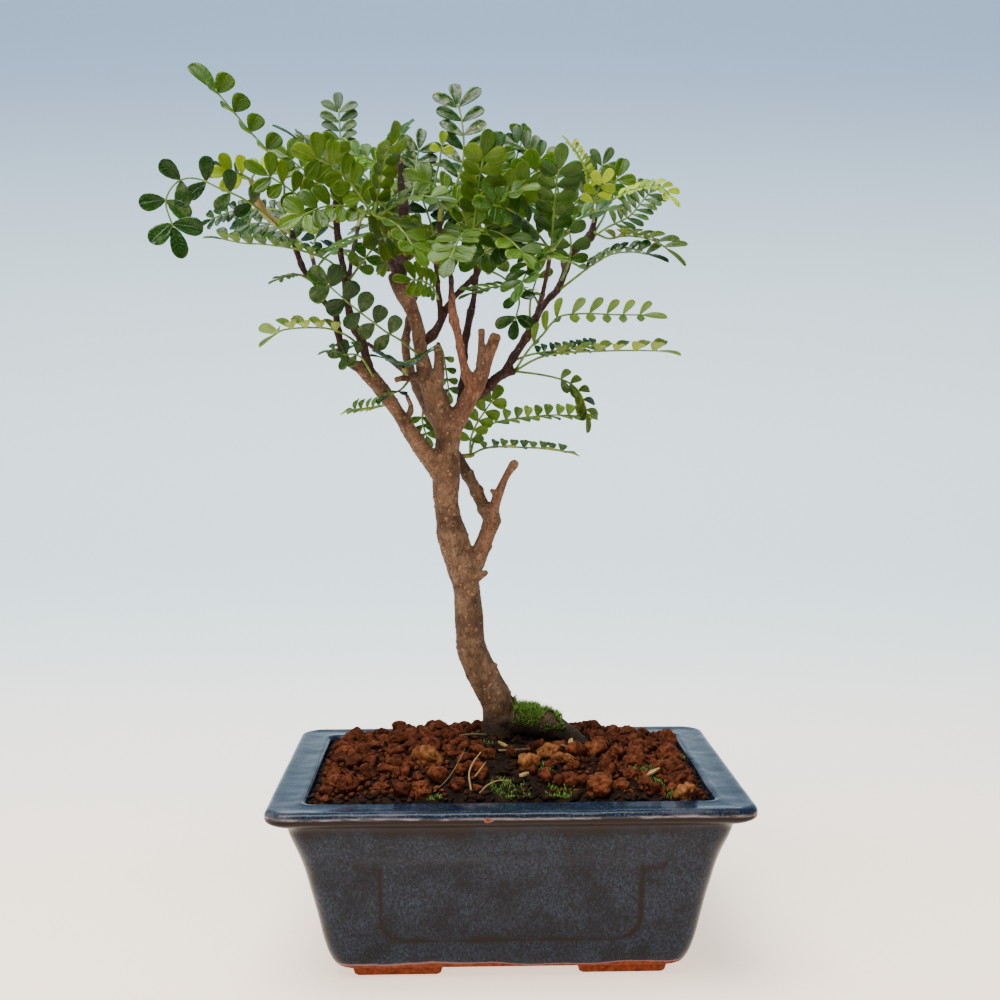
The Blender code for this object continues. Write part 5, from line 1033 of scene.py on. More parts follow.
def stone_places(rng):
    """Stones crowd the two ends and the back, and leave the middle of the front bare."""
    places = []
    for _ in range(6000):
        if len(places) == STONE_COUNT:
            break
        size = rng.uniform(2.7, 5.2)
        x, y = scatter(rng, 2.5 + size)
        bare = math.exp(-((x - 2) / 24) ** 2) * (1.0 if y < 12 else 0.35)
        if rng.random() < bare:
            continue
        root = -8 - size < x < 36 + size and abs(y - 3) < 9 + size
        if not (root or crowded(places, x, y, size, 0.93)):
            places.append((x, y, size))
    return places


def fine_height(x, y):
    p = Vector((x, y, 0.0))
    inset = ease(0.0, 6.0, min(INNER_X - 1.6 - abs(x), INNER_Y - 1.6 - abs(y)))
    rough = 0.9 * noise.noise(p / 9.0) + 0.55 * noise.noise(p / 3.3) + 0.3 * noise.noise(p / 1.2)
    return soil_height(x, y) - 0.35 + rough * (0.35 + 0.65 * inset)


def build_soil():
    """The earth: a crumbly top over the plain sides of the filling."""
    columns, rows, row = EARTH_COLUMNS, EARTH_ROWS, EARTH_COLUMNS + 1
    half_x, half_y = INNER_X - EARTH_INSET, INNER_Y - EARTH_INSET
    verts, tone = [], []
    for j in range(rows + 1):
        for i in range(row):
            x, y = half_x * (2 * i / columns - 1), half_y * (2 * j / rows - 1)
            past_x = max(0.0, abs(x) - half_x + EARTH_CORNER)
            past_y = max(0.0, abs(y) - half_y + EARTH_CORNER)
            past = math.hypot(past_x, past_y)
            if past > EARTH_CORNER:
                x -= math.copysign(past_x * (1 - EARTH_CORNER / past), x)
                y -= math.copysign(past_y * (1 - EARTH_CORNER / past), y)
            verts.append((x, y, fine_height(x, y)))
            tone.append(0.5 + 0.5 * noise.noise(Vector((x, y, 3)) / 5.0))
    faces = [(k, k + 1, k + row + 1, k + row) for j in range(rows) for k in range(j * row, j * row + columns)]
    edge = [*range(columns), *(j * row + columns for j in range(rows)),
            *(rows * row + i for i in range(columns, 0, -1)), *(j * row for j in range(rows, 0, -1))]
    above = edge
    for z, share in ((40.0, 0.925), (14.0, 0.84), (FLOOR_TOP + GAP, 0.78)):
        below = list(range(len(verts), len(verts) + len(edge)))
        verts += [(verts[k][0] * share, verts[k][1] * (share - 0.03), z) for k in edge]
        tone += [0.3] * len(edge)
        faces += [(above[k], above[k - 1], below[k - 1], below[k]) for k in range(len(edge))]
        above = below
    faces.append(tuple(reversed(above)))
    shape = Shape()
    shape.add(verts, faces, tone=tone)
    dark_earth = earth_finish("dark_earth", (0.003, 0.0016, 0.001), (0.020, 0.009, 0.005), 330.0)
    shape.piece("earth", "dark_soil", [dark_earth], ["soil"])


# Single stones that stand out: place on the soil, size and how ochre they are
OCHRE_STONES = ((-29.8, -21.9, 5.6, 0.8), (7.7, -27.1, 4.6, 1.0), (15.6, -18.7, 4.4, 0.7),
                (21.4, -24.1, 4.0, 0.8), (61.5, -42.6, 4.6, 1.0), (31.4, -16.2, 4.8, 0.2),
                (31.5, -40.5, 4.9, 0.1), (38.9, -38.7, 3.4, 0.1))


def gravel_share(x, y):
    """How thickly crumbs lie: both ends and the back, with a bare middle at the front."""
    bare = math.exp(-((x + 2) / 22) ** 2) * (1.0 if y < 8 else 0.5)
    trail = math.exp(-((x - 46) / 6) ** 2 - ((y + 2) / 16) ** 2)
    return max(0.0, 1 - bare) * (1 - 0.75 * trail) * (0.75 if x > 0 else 1.0)


def add_crumb(shape, rng, lumps, place, lift, tone, ochre=0.0):
    x, y, size = place
    verts, faces = rng.choice(lumps)
    turned = verts @ spin(rng, rng.uniform(0.7, 0.95)).T * size
    shape.add(on_soil(x, y, lift * size) + turned, faces, tone=tone, ochre=ochre)


def build_gravel():
    taken = stone_places(random.Random(7))
    rng = random.Random(21)
    coarse, middle, fine = ([lump(rng, rounds, rough) for _ in range(8)]
                            for rounds, rough in ((4, 0.15), (3, 0.17), (2, 0.2)))
    shape = Shape()
    for x, y, size in taken:
        add_crumb(shape, rng, coarse, (x, y, size * 1.04), 0.2, rng.uniform(0.25, 0.9))
    for *place, ochre in OCHRE_STONES:
        add_crumb(shape, rng, coarse, place, 0.3, 0.85, ochre)
        taken.append(place)
    for _ in range(30000):
        if len(taken) == CRUMB_COUNT:
            break
        size = rng.choice((0.9, 1.2, 1.5, 2.0, 2.6, 3.2, 3.9)) * rng.uniform(0.85, 1.15)
        x, y = scatter(rng, 2.6 + size)
        if rng.random() > gravel_share(x, y) or (-9 < x < 32 and abs(y - 3) < 7 + size):
            continue
        if not crowded(taken, x, y, size, 0.72):
            lumps = fine if size < 1.7 else middle
            add_crumb(shape, rng, lumps, (x, y, size), 0.36, rng.uniform(0.1, 0.95))
            taken.append((x, y, size))
    shape.piece("clay_crumbs", "dark_soil", [clay_crumb])


def build_peat():
    """Dark crumbs and fibres of the old root ball where the clay crumbs leave it bare."""
    rng = random.Random(33)
    bits = [lump(rng, 2, 0.3) for _ in range(6)]
    shape = Shape()
    placed = 0
    while placed < PEAT_COUNT:
        x, y = scatter(rng, 3.2)
        if rng.random() < gravel_share(x, y) * 0.85:
            continue
        placed += 1
        size = rng.uniform(0.5, 1.6) * rng.choice((0.7, 1.0, 1.0, 1.5))
        verts, faces = rng.choice(bits)
        turned = verts * np.array([1.5, 0.7, 0.7]) @ spin(rng, 0.8).T * size
        centre = np.array([x, y, fine_height(x, y) + 0.25 * size])
        shape.add(centre + turned, faces, tone=rng.uniform(0.1, 1.0))
    # Along the wall, three on the long sides for every two at the ends
    for k in range(260):
        t, inward = rng.uniform(-1, 1), rng.uniform(2.2, 3.8)
        if k % 5 < 3:
            x, y = t * (INNER_X - 4), rng.choice((-1, 1)) * (INNER_Y - inward)
        else:
            x, y = rng.choice((-1, 1)) * (INNER_X - inward), t * (INNER_Y - 4)
        verts, faces = rng.choice(bits)
        size = rng.uniform(0.5, 1.3)
        shape.add(on_soil(x, y, 0.1) + verts @ spin(rng, 0.8).T * size, faces, tone=rng.random())
    # Heaped around the foot of the trunk
    foot = branch_line("trunk")[0][0]
    for _ in range(150):
        a, reach = rng.uniform(0, 2 * math.pi), rng.uniform(4.6, 10.5)
        x, y = foot[0] + reach * math.cos(a), foot[1] + reach * math.sin(a)
        verts, faces = rng.choice(bits)
        turned = verts * np.array([1.3, 0.8, 0.7]) @ spin(rng, 0.9).T * rng.uniform(0.7, 1.7)
        heap = rng.uniform(0.2, 1.0) * max(0.6, 9.5 - reach) * 0.55
        shape.add(on_soil(x, y, heap) + turned, faces, tone=rng.uniform(0.1, 0.9))
    # Fibres
    for _ in range(90):
        x, y = scatter(rng, 6)
        if rng.random() < gravel_share(x, y):
            continue
        a, reach = rng.uniform(0, math.pi), rng.uniform(2.0, 5.0)
        path = []
        for t in (-1, -0.3, 0.4, 1):
            px, py = x + math.cos(a) * reach * t + rng.uniform(-0.5, 0.5), y + math.sin(a) * reach * t
            path.append(on_soil(px, py, rng.uniform(0.3, 1.2)))
        line = smooth(path, 3)
        shape.add(*tube(line, [0.14] * len(line), 4), tone=rng.uniform(0.4, 1.0))
    peat = earth_finish("peat", (0.003, 0.0015, 0.001), (0.038, 0.017, 0.008), 500.0)
    shape.piece("peat_crumbs", "dark_soil", [peat])


# Moss, sprigs and litter

MOSS_WIDTH = 0.17


def add_blade(shape, root, heading, length, rng, mottle):
    """Pointed three-sided shoot of moss."""
    side = unit(np.cross(heading, np.array([rng.uniform(-1, 1), rng.uniform(-1, 1), 0.3])))
    other = np.cross(heading, side)
    bend = side * rng.uniform(-0.3, 0.3) * length
    ring = [MOSS_WIDTH * (side * math.cos(a) + other * math.sin(a)) for a in (0.0, 2.1, 4.2)]
    middle = root + heading * length * 0.55 + bend * 0.4
    verts = [root + r for r in ring] + [middle + 0.8 * r for r in ring] + [root + heading * length + bend]
    faces = [(2, 1, 0), (0, 1, 4, 3), (1, 2, 5, 4), (2, 0, 3, 5), (3, 4, 6), (4, 5, 6), (5, 3, 6)]
    shape.add(verts, faces, along=[0.0] * 3 + [0.6] * 3 + [1.0], mottle=mottle)


# Moss cushions on the soil: x, y, reach and number of shoots
MOSS_PATCHES = ((1.6, -42.0, 5.5, 150), (-3.5, -39.0, 4.0, 90), (17.4, -42.5, 5.0, 150),
                (50.7, -32.7, 5.0, 190), (57.3, -40.5, 4.5, 150), (48.5, -22.5, 4.0, 120),
                (66.0, 33.0, 3.5, 90), (62.0, -12.0, 4.0, 110), (13.1, -28.6, 3.0, 60),
                (-12.0, 14.0, 4.0, 90), (-8.0, -6.0, 3.0, 70), (-31.0, -18.0, 5.0, 60),
                (-26.4, -44.5, 2.5, 40), (68.0, 8.0, 4.0, 80))


def build_moss(wood):
    """Cushions on the soil, and a cover over the surface root."""
    rng = random.Random(5)
    shape = Shape()
    for x, y, reach, shoots in MOSS_PATCHES:
        for _ in range(shoots):
            r, a = reach * math.sqrt(rng.random()), rng.uniform(0, 2 * math.pi)
            px = min(max(x + r * math.cos(a), 3 - INNER_X), INNER_X - 3)
            py = min(max(y + r * math.sin(a), 3 - INNER_Y), INNER_Y - 3)
            root = np.array([px, py, fine_height(px, py) - 0.3])
            heading = unit(np.array([rng.uniform(-0.6, 0.6), rng.uniform(-0.6, 0.6), 1.0]))
            length = rng.uniform(1.0, 2.4)
            mottle = rng.random()
            add_blade(shape, root, heading, length, rng, mottle)
    spots = [v for v in wood.data.vertices if 0.0 < v.co.z / MM + MIDDLE[2] - 70 < 19]
    spots = [v for v in spots if v.co.x / MM + MIDDLE[0] > 2.5 and v.normal.z > -0.1]
    for v in rng.sample(spots, min(3800, len(spots))):
        root = np.array(v.co) / MM + MIDDLE
        cover = noise.noise(Vector(root) / 4.0) + 0.3 * (root[2] - 80) / 6 - max(0.0, root[0] - 12) / 34
        if cover < -0.16 or root[1] > 7 or root[0] > 27:
            continue
        heading = unit(np.array(v.normal) + np.array([rng.uniform(-0.5, 0.5), rng.uniform(-0.5, 0.5), 0.6]))
        length = rng.uniform(1.0, 2.9)
        mottle = rng.random()
        add_blade(shape, root, heading, length, rng, mottle)
    shape.piece("moss", "leaf_mid", [moss_green])


# Fallen and rooted bits on the soil: points of a thin shoot as (x, y, height above the soil), its
# radius and its paleness
SHOOTS = ((((-14, -41, 0), (-14.6, -38, 4), (-12.8, -36, 7), (-10.4, -35, 9.5)), 0.34, 0.9),
          (((-12.6, -37, 2), (-10.5, -36, 4), (-8.6, -35, 6)), 0.26, 0.9),
          (((-11, -43, 0.6), (-8, -41.5, 2.2), (-4, -40, 2.6), (-0.5, -39, 1.6)), 0.28, 0.7),
          (((-27, -42, 0.6), (-22, -38, 2.5), (-18, -30, 4.2), (-16, -24, 5.2)), 0.16, 0.5),
          (((-73.6, -39.5, 1.4), (-71.5, -37.5, 1.0), (-69.5, -35, 0.3)), 0.3, 0.0),
          (((20, -12, 1.5), (26, -14, 1.2), (32, -13, 1.8)), 0.5, 0.35),
          (((-4, -17, 1.0), (2, -18, 1.6), (8, -16, 1.2)), 0.45, 0.4),
          (((-18, 2, 1.4), (-13, -1, 2.4), (-8, -5, 3.2)), 0.5, 0.3))
# Flakes of bark: x, y, length and heading; and the corners of a flake along and across it
FLAKES = ((51.9, -29.7, 6.4, 0.5), (-2.0, -13.0, 4.2, 2.4), (24.0, -8.0, 3.6, 1.2), (5.0, -36.0, 3.4, 0.1))
FLAKE_CORNERS = ((-0.5, -0.7), (-0.1, -1.0), (0.5, -0.2), (0.46, 0.4), (0.0, 0.9), (-0.5, 0.5))
FLAKE_THICKNESS = 0.7


def build_litter():
    shape = Shape()
    for points, radius, pale in SHOOTS:
        line = smooth([on_soil(x, y, up) for x, y, up in points], 6)
        radii = radius * (1 - 0.5 * np.linspace(0, 1, len(line)) ** 2)
        shape.add(*tube(line, radii, 6), tone=0.4 + 0.5 * pale, ochre=pale)
    for x, y, length, lean in FLAKES:
        along = np.array([math.cos(lean), math.sin(lean), 0.25])
        across = np.array([-math.sin(lean), math.cos(lean), 0.1])
        corners = [on_soil(x, y, 1.6) + along * length * a + across * b for a, b in FLAKE_CORNERS]
        verts = corners + [c + (0, 0, FLAKE_THICKNESS) for c in corners]
        shape.add(verts, skin(2, len(corners)), tone=0.85, ochre=1.0)
    shape.piece("litter", "bark", [dry_straw], flat=True)


# Wood

# How maroon and how rosy the bark of each branch is, where it isn't the grey of the trunk
BARK_TINTS = {
    "left_leader": (0.3, 0.1), "right_leader": (0.1, 0.35), "left_limb": (0.25, 0.1), "left_stem": (0.8, 0),
    "outer_twig": (0.75, 0), "inner_twig": (0.6, 0.1), "inner_back": (0.6, 0), "pink_twig": (0.0, 0.75),
    "dark_twig": (0.95, 0), "cross_twig": (0.9, 0), "cross_spur": (0.7, 0.2), "right_knob": (0.85, 0),
    "right_twig": (0.9, 0), "right_stub": (0.25, 0.3), "left_stub": (0.3, 0), "limb_spur": (0.4, 0),
    "leader_spur": (0.5, 0), "front_twig_left": (0.5, 0.3), "front_twig_mid": (0.4, 0.4),
    "front_twig_right": (0.6, 0.2), "back_twig_left": (0.6, 0), "back_twig_mid": (0.6, 0),
    "back_twig_right": (0.7, 0), "back_twig_outer": (0.6, 0), "side_branch": (0.0, 0.35),
    "back_twig_gap": (0.5, 0), "back_twig_low": (0.5, 0), "back_branch": (0.3, 0)}
CUT_ENDS = ("left_stem", "right_leader", "right_stub", "left_stub", "side_branch", "right_twig",
            "side_spur", "leader_spur")
# Old scars and collars on the bark: branch, share of its length, heading (x, y, z), radius
SCARS = (("trunk", 0.53, (0.2, -1, 0.1), 2.0), ("trunk", 0.6, (-0.5, -0.8, 0.2), 1.7),
         ("trunk", 0.37, (0.9, -0.4, 0.1), 1.7), ("trunk", 0.3, (-0.9, -0.3, 0.1), 1.6),
         ("trunk", 0.22, (0.3, -0.9, 0.2), 1.9), ("left_leader", 0.35, (-0.8, -0.5, 0.2), 1.9),
         ("left_leader", 0.85, (-0.9, -0.3, 0.3), 1.7), ("side_branch", 0.45, (0.6, -0.7, 0.3), 1.6),
         ("side_branch", 0.28, (0.9, -0.2, 0.2), 1.4), ("right_leader", 0.4, (0.7, -0.6, 0.2), 1.5),
         ("left_limb", 0.45, (-0.3, -0.8, 0.5), 1.4), ("trunk", 0.75, (0.4, -0.9, 0.1), 1.6),
         ("trunk", 0.46, (-0.4, 0.9, 0.1), 1.8), ("trunk", 0.66, (0.5, 0.8, 0.1), 1.5))
# Size of the grain in which the wood's surface is joined into one skin, in millimetres
SKIN_GRAIN = 0.54


def branch_line(name):
    """Smooth middle line of a branch, its radii, and the distance along it."""
    stations = WOOD[name]
    line = smooth([seen(x, z, y) for x, z, y, _ in stations], 8)
    share = np.linspace(0, len(stations) - 1, len(line))
    radii = np.interp(share, range(len(stations)), [r for *_, r in stations])
    return line, radii, lengths(line)


def build_wood():
    """One skin over all branches; thin twigs swell at their joints, thick ones are uneven."""
    rng = random.Random(11)
    rough = Shape()
    spine, kinds = [], []
    for name in WOOD:
        line, radii, run = branch_line(name)
        steps = np.linspace(0, run[-1], max(4, int(run[-1] / 1.1)))
        points = [at(line, run, s) for s in steps]
        thick = np.interp(steps, run, radii)
        if np.mean(radii) < 2.2:
            joint = rng.uniform(4, 9)
            while joint < run[-1] - 3:
                thick = thick * (1 + 0.26 * near(steps, joint, 1.1))
                joint += rng.uniform(7, 13)
        else:
            thick = thick * (1 + 0.05 * np.sin(steps / 4.3 + rng.uniform(0, 6)))
        rough.add(*tube(points, thick, 16, 0.72))
        spine += points
        cut_from = len(points) - 2 if name in CUT_ENDS else len(points)
        kinds += [(*BARK_TINTS.get(name, (0.0, 0.0)), radius, float(k >= cut_from))
                  for k, radius in enumerate(thick)]
    for name, share, heading, radius in SCARS:
        line, radii, run = branch_line(name)
        centre = at(line, run, run[-1] * share)
        reach = float(np.interp(run[-1] * share, run, radii))
        out = unit(np.array(heading, float))
        path = [centre + out * (reach + rise) for rise in (-1.6, -0.1, 0.55)]
        rough.add(*tube(path, [radius * 1.35, radius * 1.2, radius * 0.8], 14, 0.6))
    wood = rough.piece("trunk_wood", "bark", [bark], ["trunk"])
    remesh = wood.modifiers.new("skin", "REMESH")
    remesh.mode, remesh.voxel_size = "VOXEL", SKIN_GRAIN * MM
    calm = wood.modifiers.new("calm", "SMOOTH")
    calm.factor, calm.iterations = 0.5, 2
    apply_modifiers(wood)
    paint_wood(wood.data, np.array(spine), np.array(kinds))
    return wood


def paint_wood(mesh, spine, kinds):
    """Warts, cracks and colour of the bark, by the thickness and age of the nearest branch."""
    finder = KDTree(len(spine))
    for k, p in enumerate(spine):
        finder.insert(Vector(p), k)
    finder.balance()
    count = len(mesh.vertices)
    co, normals = np.zeros(count * 3), np.zeros(count * 3)
    mesh.vertices.foreach_get("co", co)
    mesh.vertices.foreach_get("normal", normals)
    co, normals = co.reshape(-1, 3) / MM + MIDDLE, normals.reshape(-1, 3)
    masks = {key: np.zeros(count) for key in ("maroon", "rosy", "wart", "crack", "cut", "damp")}
    lift = np.zeros(count)
    for k in range(count):
        p = Vector(co[k])
        maroon, rosy, radius, cut = kinds[finder.find(p)[1]]
        thick = min(1.0, radius / 4.5)
        lumps = noise.noise(p / 5.0) * 0.55 + noise.noise(p / 2.1) * 0.25
        ridge = 1 - abs(noise.noise(Vector((p.x / 1.6, p.y / 1.6, p.z / 5.5)))) * 2.4
        crack = max(0.0, ridge - 0.72) * 2.6 * thick
        warty = 1.0 if noise.noise(p / 7.0 + Vector((9, 0, 0))) > -0.1 else 0.15
        wart = float(ease(0.30, 0.15, noise.voronoi(p / 2.7)[0][0])) * warty
        lift[k] = lumps * (0.14 + 0.46 * thick) + wart * (0.10 + 0.22 * thick) - crack * 0.3
        upper = 0.9 * float(ease(232.0, 254.0, p.z + 9 * noise.noise(p / 8.0)))
        masks["maroon"][k], masks["rosy"][k] = max(maroon, upper), rosy
        masks["wart"][k] = wart * (0.35 + 0.65 * thick)
        masks["crack"][k] = min(1.0, crack)
        masks["cut"][k] = cut * 0.9
        masks["damp"][k] = float(ease(87.0, 78.0, p.z - 2.5 * noise.noise(p / 3.0)))
    co = (co + normals * lift[:, None] - MIDDLE) * MM
    mesh.vertices.foreach_set("co", co.reshape(-1))
    for key, values in masks.items():
        paint_points(mesh, key, values)
    mesh.shade_smooth()
    mesh.update()


# Leaves

def bunch_sprays():
    """Each row of BUNCHES as a spray on the end of its twig."""
    made = []
    for name, branch, reach, tone, headings in BUNCHES:
        before, tip = (np.array(row[:3], float) for row in WOOD[branch][-2:])
        onward = unit(tip - before)
        fronds = rosette(tip + onward * 5.2, onward, reach, tone, headings)
        stem = [(*(tip + onward * step), 0.9) for step in (0, 2.2, 3.7, 5.6)]
        made.append(spray(name, branch, *fronds, stem=stem))
    return made


def leave_wood(branch, place, toward, width):
    """Where a stem or rib of the given width starts, just clear of the branch's bark."""
    stations = WOOD[branch]
    corners = np.array([seen(x, z, y) for x, z, y, _ in stations])
    share = np.linspace(0, len(stations) - 1, 8 * len(stations))
    order = range(len(stations))
    points = np.array([np.interp(share, order, corners[:, k]) for k in range(3)]).T
    radius = np.interp(share, order, [r for *_, r in stations])
    nearest = int(np.argmin(np.linalg.norm(points - place, axis=1)))
    centre = points[nearest]
    axis = unit(points[min(nearest + 1, len(points) - 1)] - points[max(nearest - 1, 0)])
    heading = unit(toward - centre)
    rise = float(np.dot(heading, axis))
    if nearest == len(points) - 1 and rise > 0.35:
        cap = radius[nearest] * 0.35
        tilt = math.sqrt(1 - min(1.0, rise * rise))
        return centre + heading * (cap + GAP + 0.05 + 0.6 * width * tilt) / rise
    outward = unit(heading - axis * rise)
    return centre + outward * (radius[nearest] + GAP + 0.1 + 0.5 * width)


def bent_path(path, bend):
    """The path with its tip moved by (depth, height) and the rest in proportion."""
    last = len(path) - 1
    return [seen(x, z + bend[1] * (i / last) ** 1.3, y + bend[0] * (i / last) ** 1.3)
            for i, (x, z, y) in enumerate(path)]


def rib_frames(line, turn):
    """Heading, side and upper direction of the rib at each point of its line."""
    chord = unit(line[-1] - line[0])
    to_eye = unit(EYE - line[len(line) // 2])
    facing = unit(to_eye - chord * np.dot(to_eye, chord))
    across = np.cross(chord, facing)
    upright = abs(chord[2]) > 0.9
    if (across[0] if upright else across[2]) < 0:
        across = -across
    angle = math.radians(turn)
    up = facing * math.cos(angle) + across * math.sin(angle)
    headings, sides, ups = [], [], []
    for i in range(len(line)):
        ahead = unit(line[min(i + 1, len(line) - 1)] - line[max(i - 1, 0)])
        up = unit(up - ahead * np.dot(up, ahead))
        headings.append(ahead)
        ups.append(up)
        sides.append(np.cross(up, ahead))
    return np.array(headings), np.array(sides), np.array(ups)


def chosen_path(leaf, start, surface):
    """The frond's path from its start, bent as its solid in the frame is bent."""
    least, chosen = math.inf, None
    for bend in BENDS:
        path = [start, *bent_path(leaf["path"], bend)[1:]]
        line = smooth(path)
        marks = [line[-1], line[int(len(line) * 0.8)], line[int(len(line) * 0.6)]]
        off = sum(surface.find_nearest(Vector((m - MIDDLE) * MM))[3] for m in marks) / MM
        if off < least - 0.02:
            least, chosen = off, path
    return chosen


def blade_grid(steps):
    """Faces of a closed blade of steps = (along, across), top grid first."""
    nu, nv = steps
    row, sheet = nv + 1, (nu + 1) * (nv + 1)
    faces = []
    for k in (i * row + j for i in range(nu) for j in range(nv)):
        faces.append((k, k + row, k + row + 1, k + 1))
        faces.append((k + sheet, k + sheet + 1, k + sheet + row + 1, k + sheet + row))
    rim = [i * row for i in range(nu)] + [nu * row + j for j in range(nv)]
    rim += [i * row + nv for i in range(nu, 0, -1)] + [j for j in range(nv, 0, -1)]
    return faces + [(b, a, a + sheet, b + sheet) for a, b in zip(rim, rim[1:] + rim[:1])]


# Steps of a leaflet's surface along and across it, and the leaf length from which they are finer
SMALL_STEPS, LARGE_STEPS, LARGE_FROM = (9, 6), (14, 8), 8.6
BLADES = {steps: blade_grid(steps) for steps in (SMALL_STEPS, LARGE_STEPS)}
BLADE_THICKNESS = 0.3


def add_leaflet(shape, base, along, across, upper, length, width, finish, rng, large):
    """One leaflet: narrow foot, round blunt tip with a small notch, channelled along its midrib."""
    steps = LARGE_STEPS if large else SMALL_STEPS
    u = (0.5 - 0.5 * np.cos(np.pi * np.linspace(0, 1, steps[0] + 1) ** 0.9))[:, None]
    v = np.linspace(-1, 1, steps[1] + 1)[None, :]
    belly = np.clip(u, 0, 1) ** 0.62 * np.clip(1 - u ** 3.2, 0, 1) ** 0.5 / 0.655
    half = width * 0.5 * np.maximum(belly, 0.05)
    scallop = 1 + (0.03 * np.sin(u * 34) * np.abs(v) ** 6 if large else 0.0)
    notch = 0.05 * near(v, 0.0, 0.3) * ease(0.8, 1.0, u)
    reach = length * 0.97 * (u - notch)
    droop, twist, cup = rng.uniform(0.07, 0.17), rng.uniform(-0.14, 0.14), rng.uniform(0.12, 0.3)
    rise = half * cup * np.abs(v) ** 1.4 - length * droop * u * u + width * 0.5 * twist * v * u
    rise = rise + 0.012 * length * np.sin(v * 5 + rng.uniform(0, 6)) * np.sin(u * 6)
    top = base + along * reach[..., None] + across * (half * scallop * v)[..., None] + upper * rise[..., None]
    thick = BLADE_THICKNESS * (1 - 0.55 * np.abs(v) ** 4) * np.ones_like(u)
    under = top - upper * thick[..., None]
    verts = np.concatenate([top.reshape(-1, 3), under.reshape(-1, 3)])
    uu, vv = (np.tile(np.broadcast_to(value, reach.shape).reshape(-1), 2) for value in (u, v))
    shape.add(verts, BLADES[steps], finish, along=uu, across=vv, under=np.repeat([0.0, 1.0], len(verts) // 2),
              mottle=rng.random())


# Fronds that stand apart against the light, with their own count of pairs, or None for the table's
COUNTED = {"left_long": None, "left_hook": None, "left_shoot": None, "main_top": None, "right_curl": 5,
           "left_cluster": None, "spur_low": None, "high_fan": None, "hanging_front": None,
           "hanging_behind": 4, "right_upright": None, "left_fan": None, "front_dark": None,
           "right_arch": 6, "right_fan": 8, "left_pale": 5}


def leaflet_nodes(leaf, total, name):
    """Where along the rib the pairs of leaflets stand, so that they fill it."""
    last = total - NODE_LENGTH / 2 - 0.8
    if name in COUNTED or leaf["pairs"] < 2:
        start = min(leaf["first"] * total, last - 0.1)
        pairs = COUNTED.get(name) or leaf["pairs"]
    else:
        start = (0.6 if leaf["pairs"] == 2 else 0.76) * leaf["first"] * total
        # A frond seen edge-on shows wider gaps than a flat one
        step = (1.2 if leaf["turn"] >= 60 else 1.02) * leaf["leaf"] * leaf["wide"]
        pairs = max(leaf["pairs"], 1 + math.ceil((last - start) / step))
    return np.linspace(start, last, pairs) if pairs > 1 else [start]


def add_frond(shape, leaf, path, finish, stalk, rng, name):
    """Rib that is thicker at each pair of leaflets, the pairs, and the leaflet at its end."""
    line = smooth(path)
    run = lengths(line)
    headings, sides, ups = rib_frames(line, leaf["turn"])
    total, size = run[-1], leaf["leaf"]
    nodes = leaflet_nodes(leaf, total, name)
    spread, fold = math.radians(leaf["spread"]), math.radians(leaf["fold"])
    large = size >= LARGE_FROM
    steps = np.linspace(0, total, max(6, int(total / 1.6)))
    root = line[0] - unit(line[1] - line[0]) * 0.9
    points = [root] + [at(line, run, s) for s in steps]
    thick = [RIB_HALF + 0.05] + [RIB_HALF - 0.2 * s / total for s in steps]
    for node in nodes:
        thick = [t + 0.09 * near(s, node, 0.6) for t, s in zip(thick, [0, *steps])]
    shape.add(*tube(points, thick, 6), stalk, ruddy=0.0)
    first_grown, last_grown = leaf["grow"]
    for i, node in enumerate(nodes):
        length = size * (first_grown + (last_grown - first_grown) * (i / max(1, len(nodes) - 1)))
        ahead, side, up = (unit(at(row, run, node)) for row in (headings, sides, ups))
        for sign in (1, -1):
            out = side * sign * math.cos(fold) + up * math.sin(fold)
            lean = spread + rng.uniform(-0.09, 0.09)
            along = ahead * math.cos(lean) + out * math.sin(lean)
            across = unit(ahead * sign - along * np.dot(ahead * sign, along))
            upper = np.cross(across, along)
            angle = math.radians(leaf["twist"] * sign + rng.uniform(-7, 7))
            wing = across * math.cos(angle) + upper * math.sin(angle)
            upper = upper * math.cos(angle) - across * math.sin(angle)
            spot = at(line, run, node + rng.uniform(-0.3, 0.3)) + side * sign * 0.25
            grown = length * rng.uniform(0.93, 1.04)
            add_leaflet(shape, spot, along, wing, upper, grown, length * leaf["wide"], finish, rng, large)
    ahead, side, up = headings[-1], sides[-1], ups[-1]
    add_leaflet(shape, line[-1] - ahead * 0.4, ahead, -side, up, size * leaf["end"], size * leaf["wide"],
                finish, rng, large)


def add_stem(shape, group, finish):
    """The shoot that the group's fronds share, and the places along it where they start."""
    rows = group["stem"]
    places = [seen(x, z, y) for x, z, y, _ in rows]
    places[0] = leave_wood(group["branch"], places[0], places[1], rows[0][3])
    root = places[0] - unit(places[1] - places[0]) * 1.2
    line = smooth([root, *places], 5)
    radii = np.interp(np.linspace(0, len(rows), len(line)), range(len(rows) + 1),
                      [rows[0][3], *[r for *_, r in rows]])
    shape.add(*tube(line, radii, 9), finish, ruddy=0.75 if group["name"] == "left_shoot" else 0.25)
    return places[1:]


